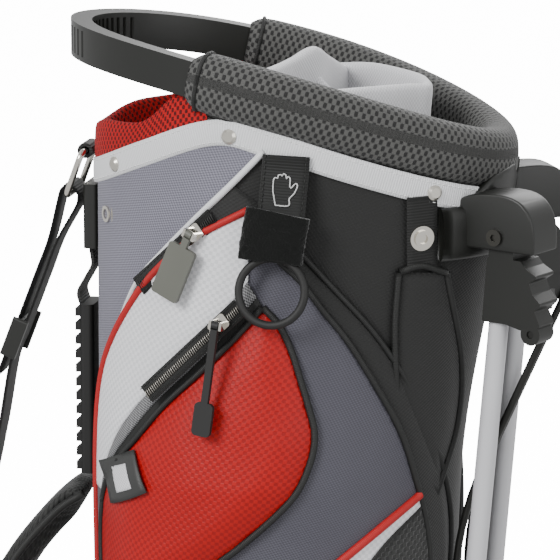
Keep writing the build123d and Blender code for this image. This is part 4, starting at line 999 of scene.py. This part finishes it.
def rounded(obj, width):
    """Bevels a moulding's sharp edges."""
    bevel = obj.modifiers.new("rounded", "BEVEL")
    bevel.width = width * MM
    bevel.segments = 3
    bevel.limit_method = "ANGLE"
    bevel.angle_limit = math.radians(28)
    bevel.harden_normals = False
    apply_modifiers(obj)
    shade_smooth(obj)


hood_outline = [(p.x, p.y) for p in curve_through([(d, v, 0) for d, v in HOOD], 4.0)]
for side, hand in HANDS:
    hood = prism("bracket_hood_" + hand, side, hood_outline, HOOD_HALF)
    hollow = prism("hollow", side, HOLLOW, HOLLOW_HALF)
    cut = hood.modifiers.new("hollow", "BOOLEAN")
    cut.operation = "DIFFERENCE"
    cut.object = hollow
    cut.solver = "EXACT"
    apply_modifiers(hood)
    bpy.data.objects.remove(hollow)
    rounded(hood, 1.2)
    panel("bracket_wing_" + hand, WING, lambda x, z: 6.5 + 0 * x, nylon_moulded, side, creases=0,
          thickness=5.0, slot="black_plastic")
SADDLE_TURN = 0.75          # half its wrap round the bag's front, in radians
saddle_path = [on_oval(math.pi + SADDLE_TURN * (i / 12 - 1), PIVOT_Z, 5.0) for i in range(25)]
saddle = sweep("bracket_saddle", saddle_path, squared_section(16, 4, 0.6, 1, 20), nylon_moulded,
               (0, 0, 1), slot="black_plastic")
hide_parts("leg_bracket")

BUCKLE_X, BUCKLE_Z = -149.5, 700
STRAP_DOWN = (-0.362, -0.932)
LAYER_GAP = 2.6             # from the middle of the doubled webbing to each layer


# ---- shoulder strap
def layer(side, along):
    """A point on the doubled webbing, along millimetres below the buckle's middle."""
    lean, drop = STRAP_DOWN
    return (BUCKLE_X + lean * along - drop * LAYER_GAP * side, 0,
            BUCKLE_Z + drop * along + lean * LAYER_GAP * side)


webbing = [layer(-1, 48), layer(-1, 32), layer(-1, 16), layer(-1, 0), layer(-1, -24),
           layer(-1, -48), (-128.4, 0, 770), (-126.2, 0, 777), (-121.5, 0, 780.2), (-117.2, 0, 776),
           (-115.8, 0, 769), layer(1, -48), layer(1, -24), layer(1, 0), layer(1, 19), layer(1, 38),
           (-169, 0, 620), (-181, 0, 572), (-203, 0, 530), (-222, 0, 498)]
webbing = sweep("strap_webbing_loop", curve_through(webbing, 3.0), flat_section(24.6, 1.3, 0.1),
                webbing_black, (0, 1, 0), slot="black_webbing")
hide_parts("strap_webbing")


def inflate(obj, pressure, most):
    """Blows a closed cloth up from inside, keeps every point within a few millimetres, and smooths it."""
    even = obj.modifiers.new("even", "REMESH")
    even.mode = "VOXEL"
    even.voxel_size = 5 * MM
    apply_modifiers(obj)
    before = [vertex.co.copy() for vertex in obj.data.vertices]
    cloth = obj.modifiers.new("cloth", "CLOTH")
    cloth.settings.quality = 5
    cloth.settings.use_pressure = True
    cloth.settings.uniform_pressure_force = pressure
    cloth.settings.effector_weights.gravity = 0
    scene = bpy.context.scene
    for frame_number in range(1, 21):
        scene.frame_set(frame_number)
    blown = obj.evaluated_get(bpy.context.evaluated_depsgraph_get()).data
    after = [vertex.co.copy() for vertex in blown.vertices]
    obj.modifiers.clear()
    scene.frame_set(1)
    for vertex, old, new in zip(obj.data.vertices, before, after):
        move = new - old
        if move.length > most * MM:
            move = move.normalized() * (most * MM)
        vertex.co = old + move
    soften(obj)
    shade_smooth(obj)


PAD_PATH = [(-110, 0, 588), (-129, 0, 574), (-157, 0, 540), (-180, 0, 494), (-196, 0, 446),
            (-217, 0, 420), (-238, 0, 444), (-236, 0, 480), (-220, 0, 506)]
pad_curve = curve_through(PAD_PATH, 5.0)
pad = sweep("shoulder_pad_cloth", pad_curve, flat_section(53.0, 9.5, 1.0), mesh_pad, (0, 1, 0),
            slot="black_mesh")
inflate(pad, 4.0, 5.0)
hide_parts("shoulder_pad")
PAD_EDGE = 27.12
for side, hand in HANDS:
    sweep("pad_binding_" + hand, [p + Vector((0, side * PAD_EDGE, 0)) for p in pad_curve],
          round_section(2.6, 8), piping_black, slot="black_webbing")

# ---- finishes of the hard parts
FINISHES = {
    nickel_satin: ["rim_rivets"],
    nickel_bright: ["snap_studs", "strap_ring", "zip_slider_main", "zip_slider_inner"],
    ring_plastic: ["top_ring"],
    boot_plastic: ["base_boot", "foot_plate"],
    nylon_moulded: ["leg_sleeve_right", "leg_sleeve_left", "spine_plate", "strap_buckle"],
    rubber_black: ["leg_foot_right", "leg_foot_left", "glove_ring", "spine_grip", "zip_pull_inner"],
    pull_rubber: ["zip_pull_main"],
    leg_paint: ["leg_tube_right", "leg_tube_left"],
    spring_wire: ["rod_right", "rod_left", "foot_hinge_pin"],
    steel_dark: ["leg_pivot_screws"],
    steel_stay: ["spine_stays"],
    felt_grey: ["floor_pad"],
    webbing_plain: ["strap_tab", "grip_webbing"]}
for material, names in FINISHES.items():
    for name in names:
        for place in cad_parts[name].material_slots:
            place.material = material

# ---- camera, floor and light
TARGET = Vector((0.00891, 0, 0.7232))
AZIMUTH, ELEVATION, ROLL = math.radians(10.945), math.radians(11.976), math.radians(0.18)
DISTANCE = 2.001            # metres
LENS, SENSOR = 209.36, 36
LIGHTS = (("key", (-1.6, -2.6, 2.6), 1.4, 120), ("fill", (2.2, -1.8, 1.6), 2.0, 30),
          ("back", (0.5, 2.4, 2.4), 2.0, 50))     # name, place in metres, size, watts
FLOOR_HALF, FLOOR_Z = 40000, -2
back = Vector((math.sin(AZIMUTH) * math.cos(ELEVATION), -math.cos(AZIMUTH) * math.cos(ELEVATION),
               math.sin(ELEVATION)))
camera = bpy.data.objects.new("camera", bpy.data.cameras.new("camera"))
bpy.context.scene.collection.objects.link(camera)
camera.data.lens = LENS
camera.data.sensor_width = SENSOR
camera.location = TARGET + back * DISTANCE
camera.rotation_mode = "QUATERNION"
roll = Matrix.Rotation(ROLL, 4, "Z").to_quaternion()
camera.rotation_quaternion = (-back).to_track_quat("-Z", "Y") @ roll
camera.data.clip_end = 200
bpy.context.scene.camera = camera

corners = [(a * FLOOR_HALF, b * FLOOR_HALF, FLOOR_Z) for a, b in ((-1, -1), (1, -1), (1, 1), (-1, 1))]
floor = piece("floor", corners, [(0, 1, 2, 3)], floor_paper, body=None)
floor.visible_diffuse = False
floor.visible_glossy = False
world = bpy.data.worlds.new("studio")
bpy.context.scene.world = world
world.use_nodes = True
world.node_tree.nodes["Background"].inputs["Color"].default_value = (1, 1, 1, 1)
world.node_tree.nodes["Background"].inputs["Strength"].default_value = 0.85
for name, place, size, power in LIGHTS:
    light = bpy.data.objects.new(name, bpy.data.lights.new(name, "AREA"))
    light.data.energy = power
    light.data.size = size
    light.location = place
    light.rotation_mode = "QUATERNION"
    light.rotation_quaternion = (TARGET - light.location).to_track_quat("-Z", "Y")
    bpy.context.scene.collection.objects.link(light)
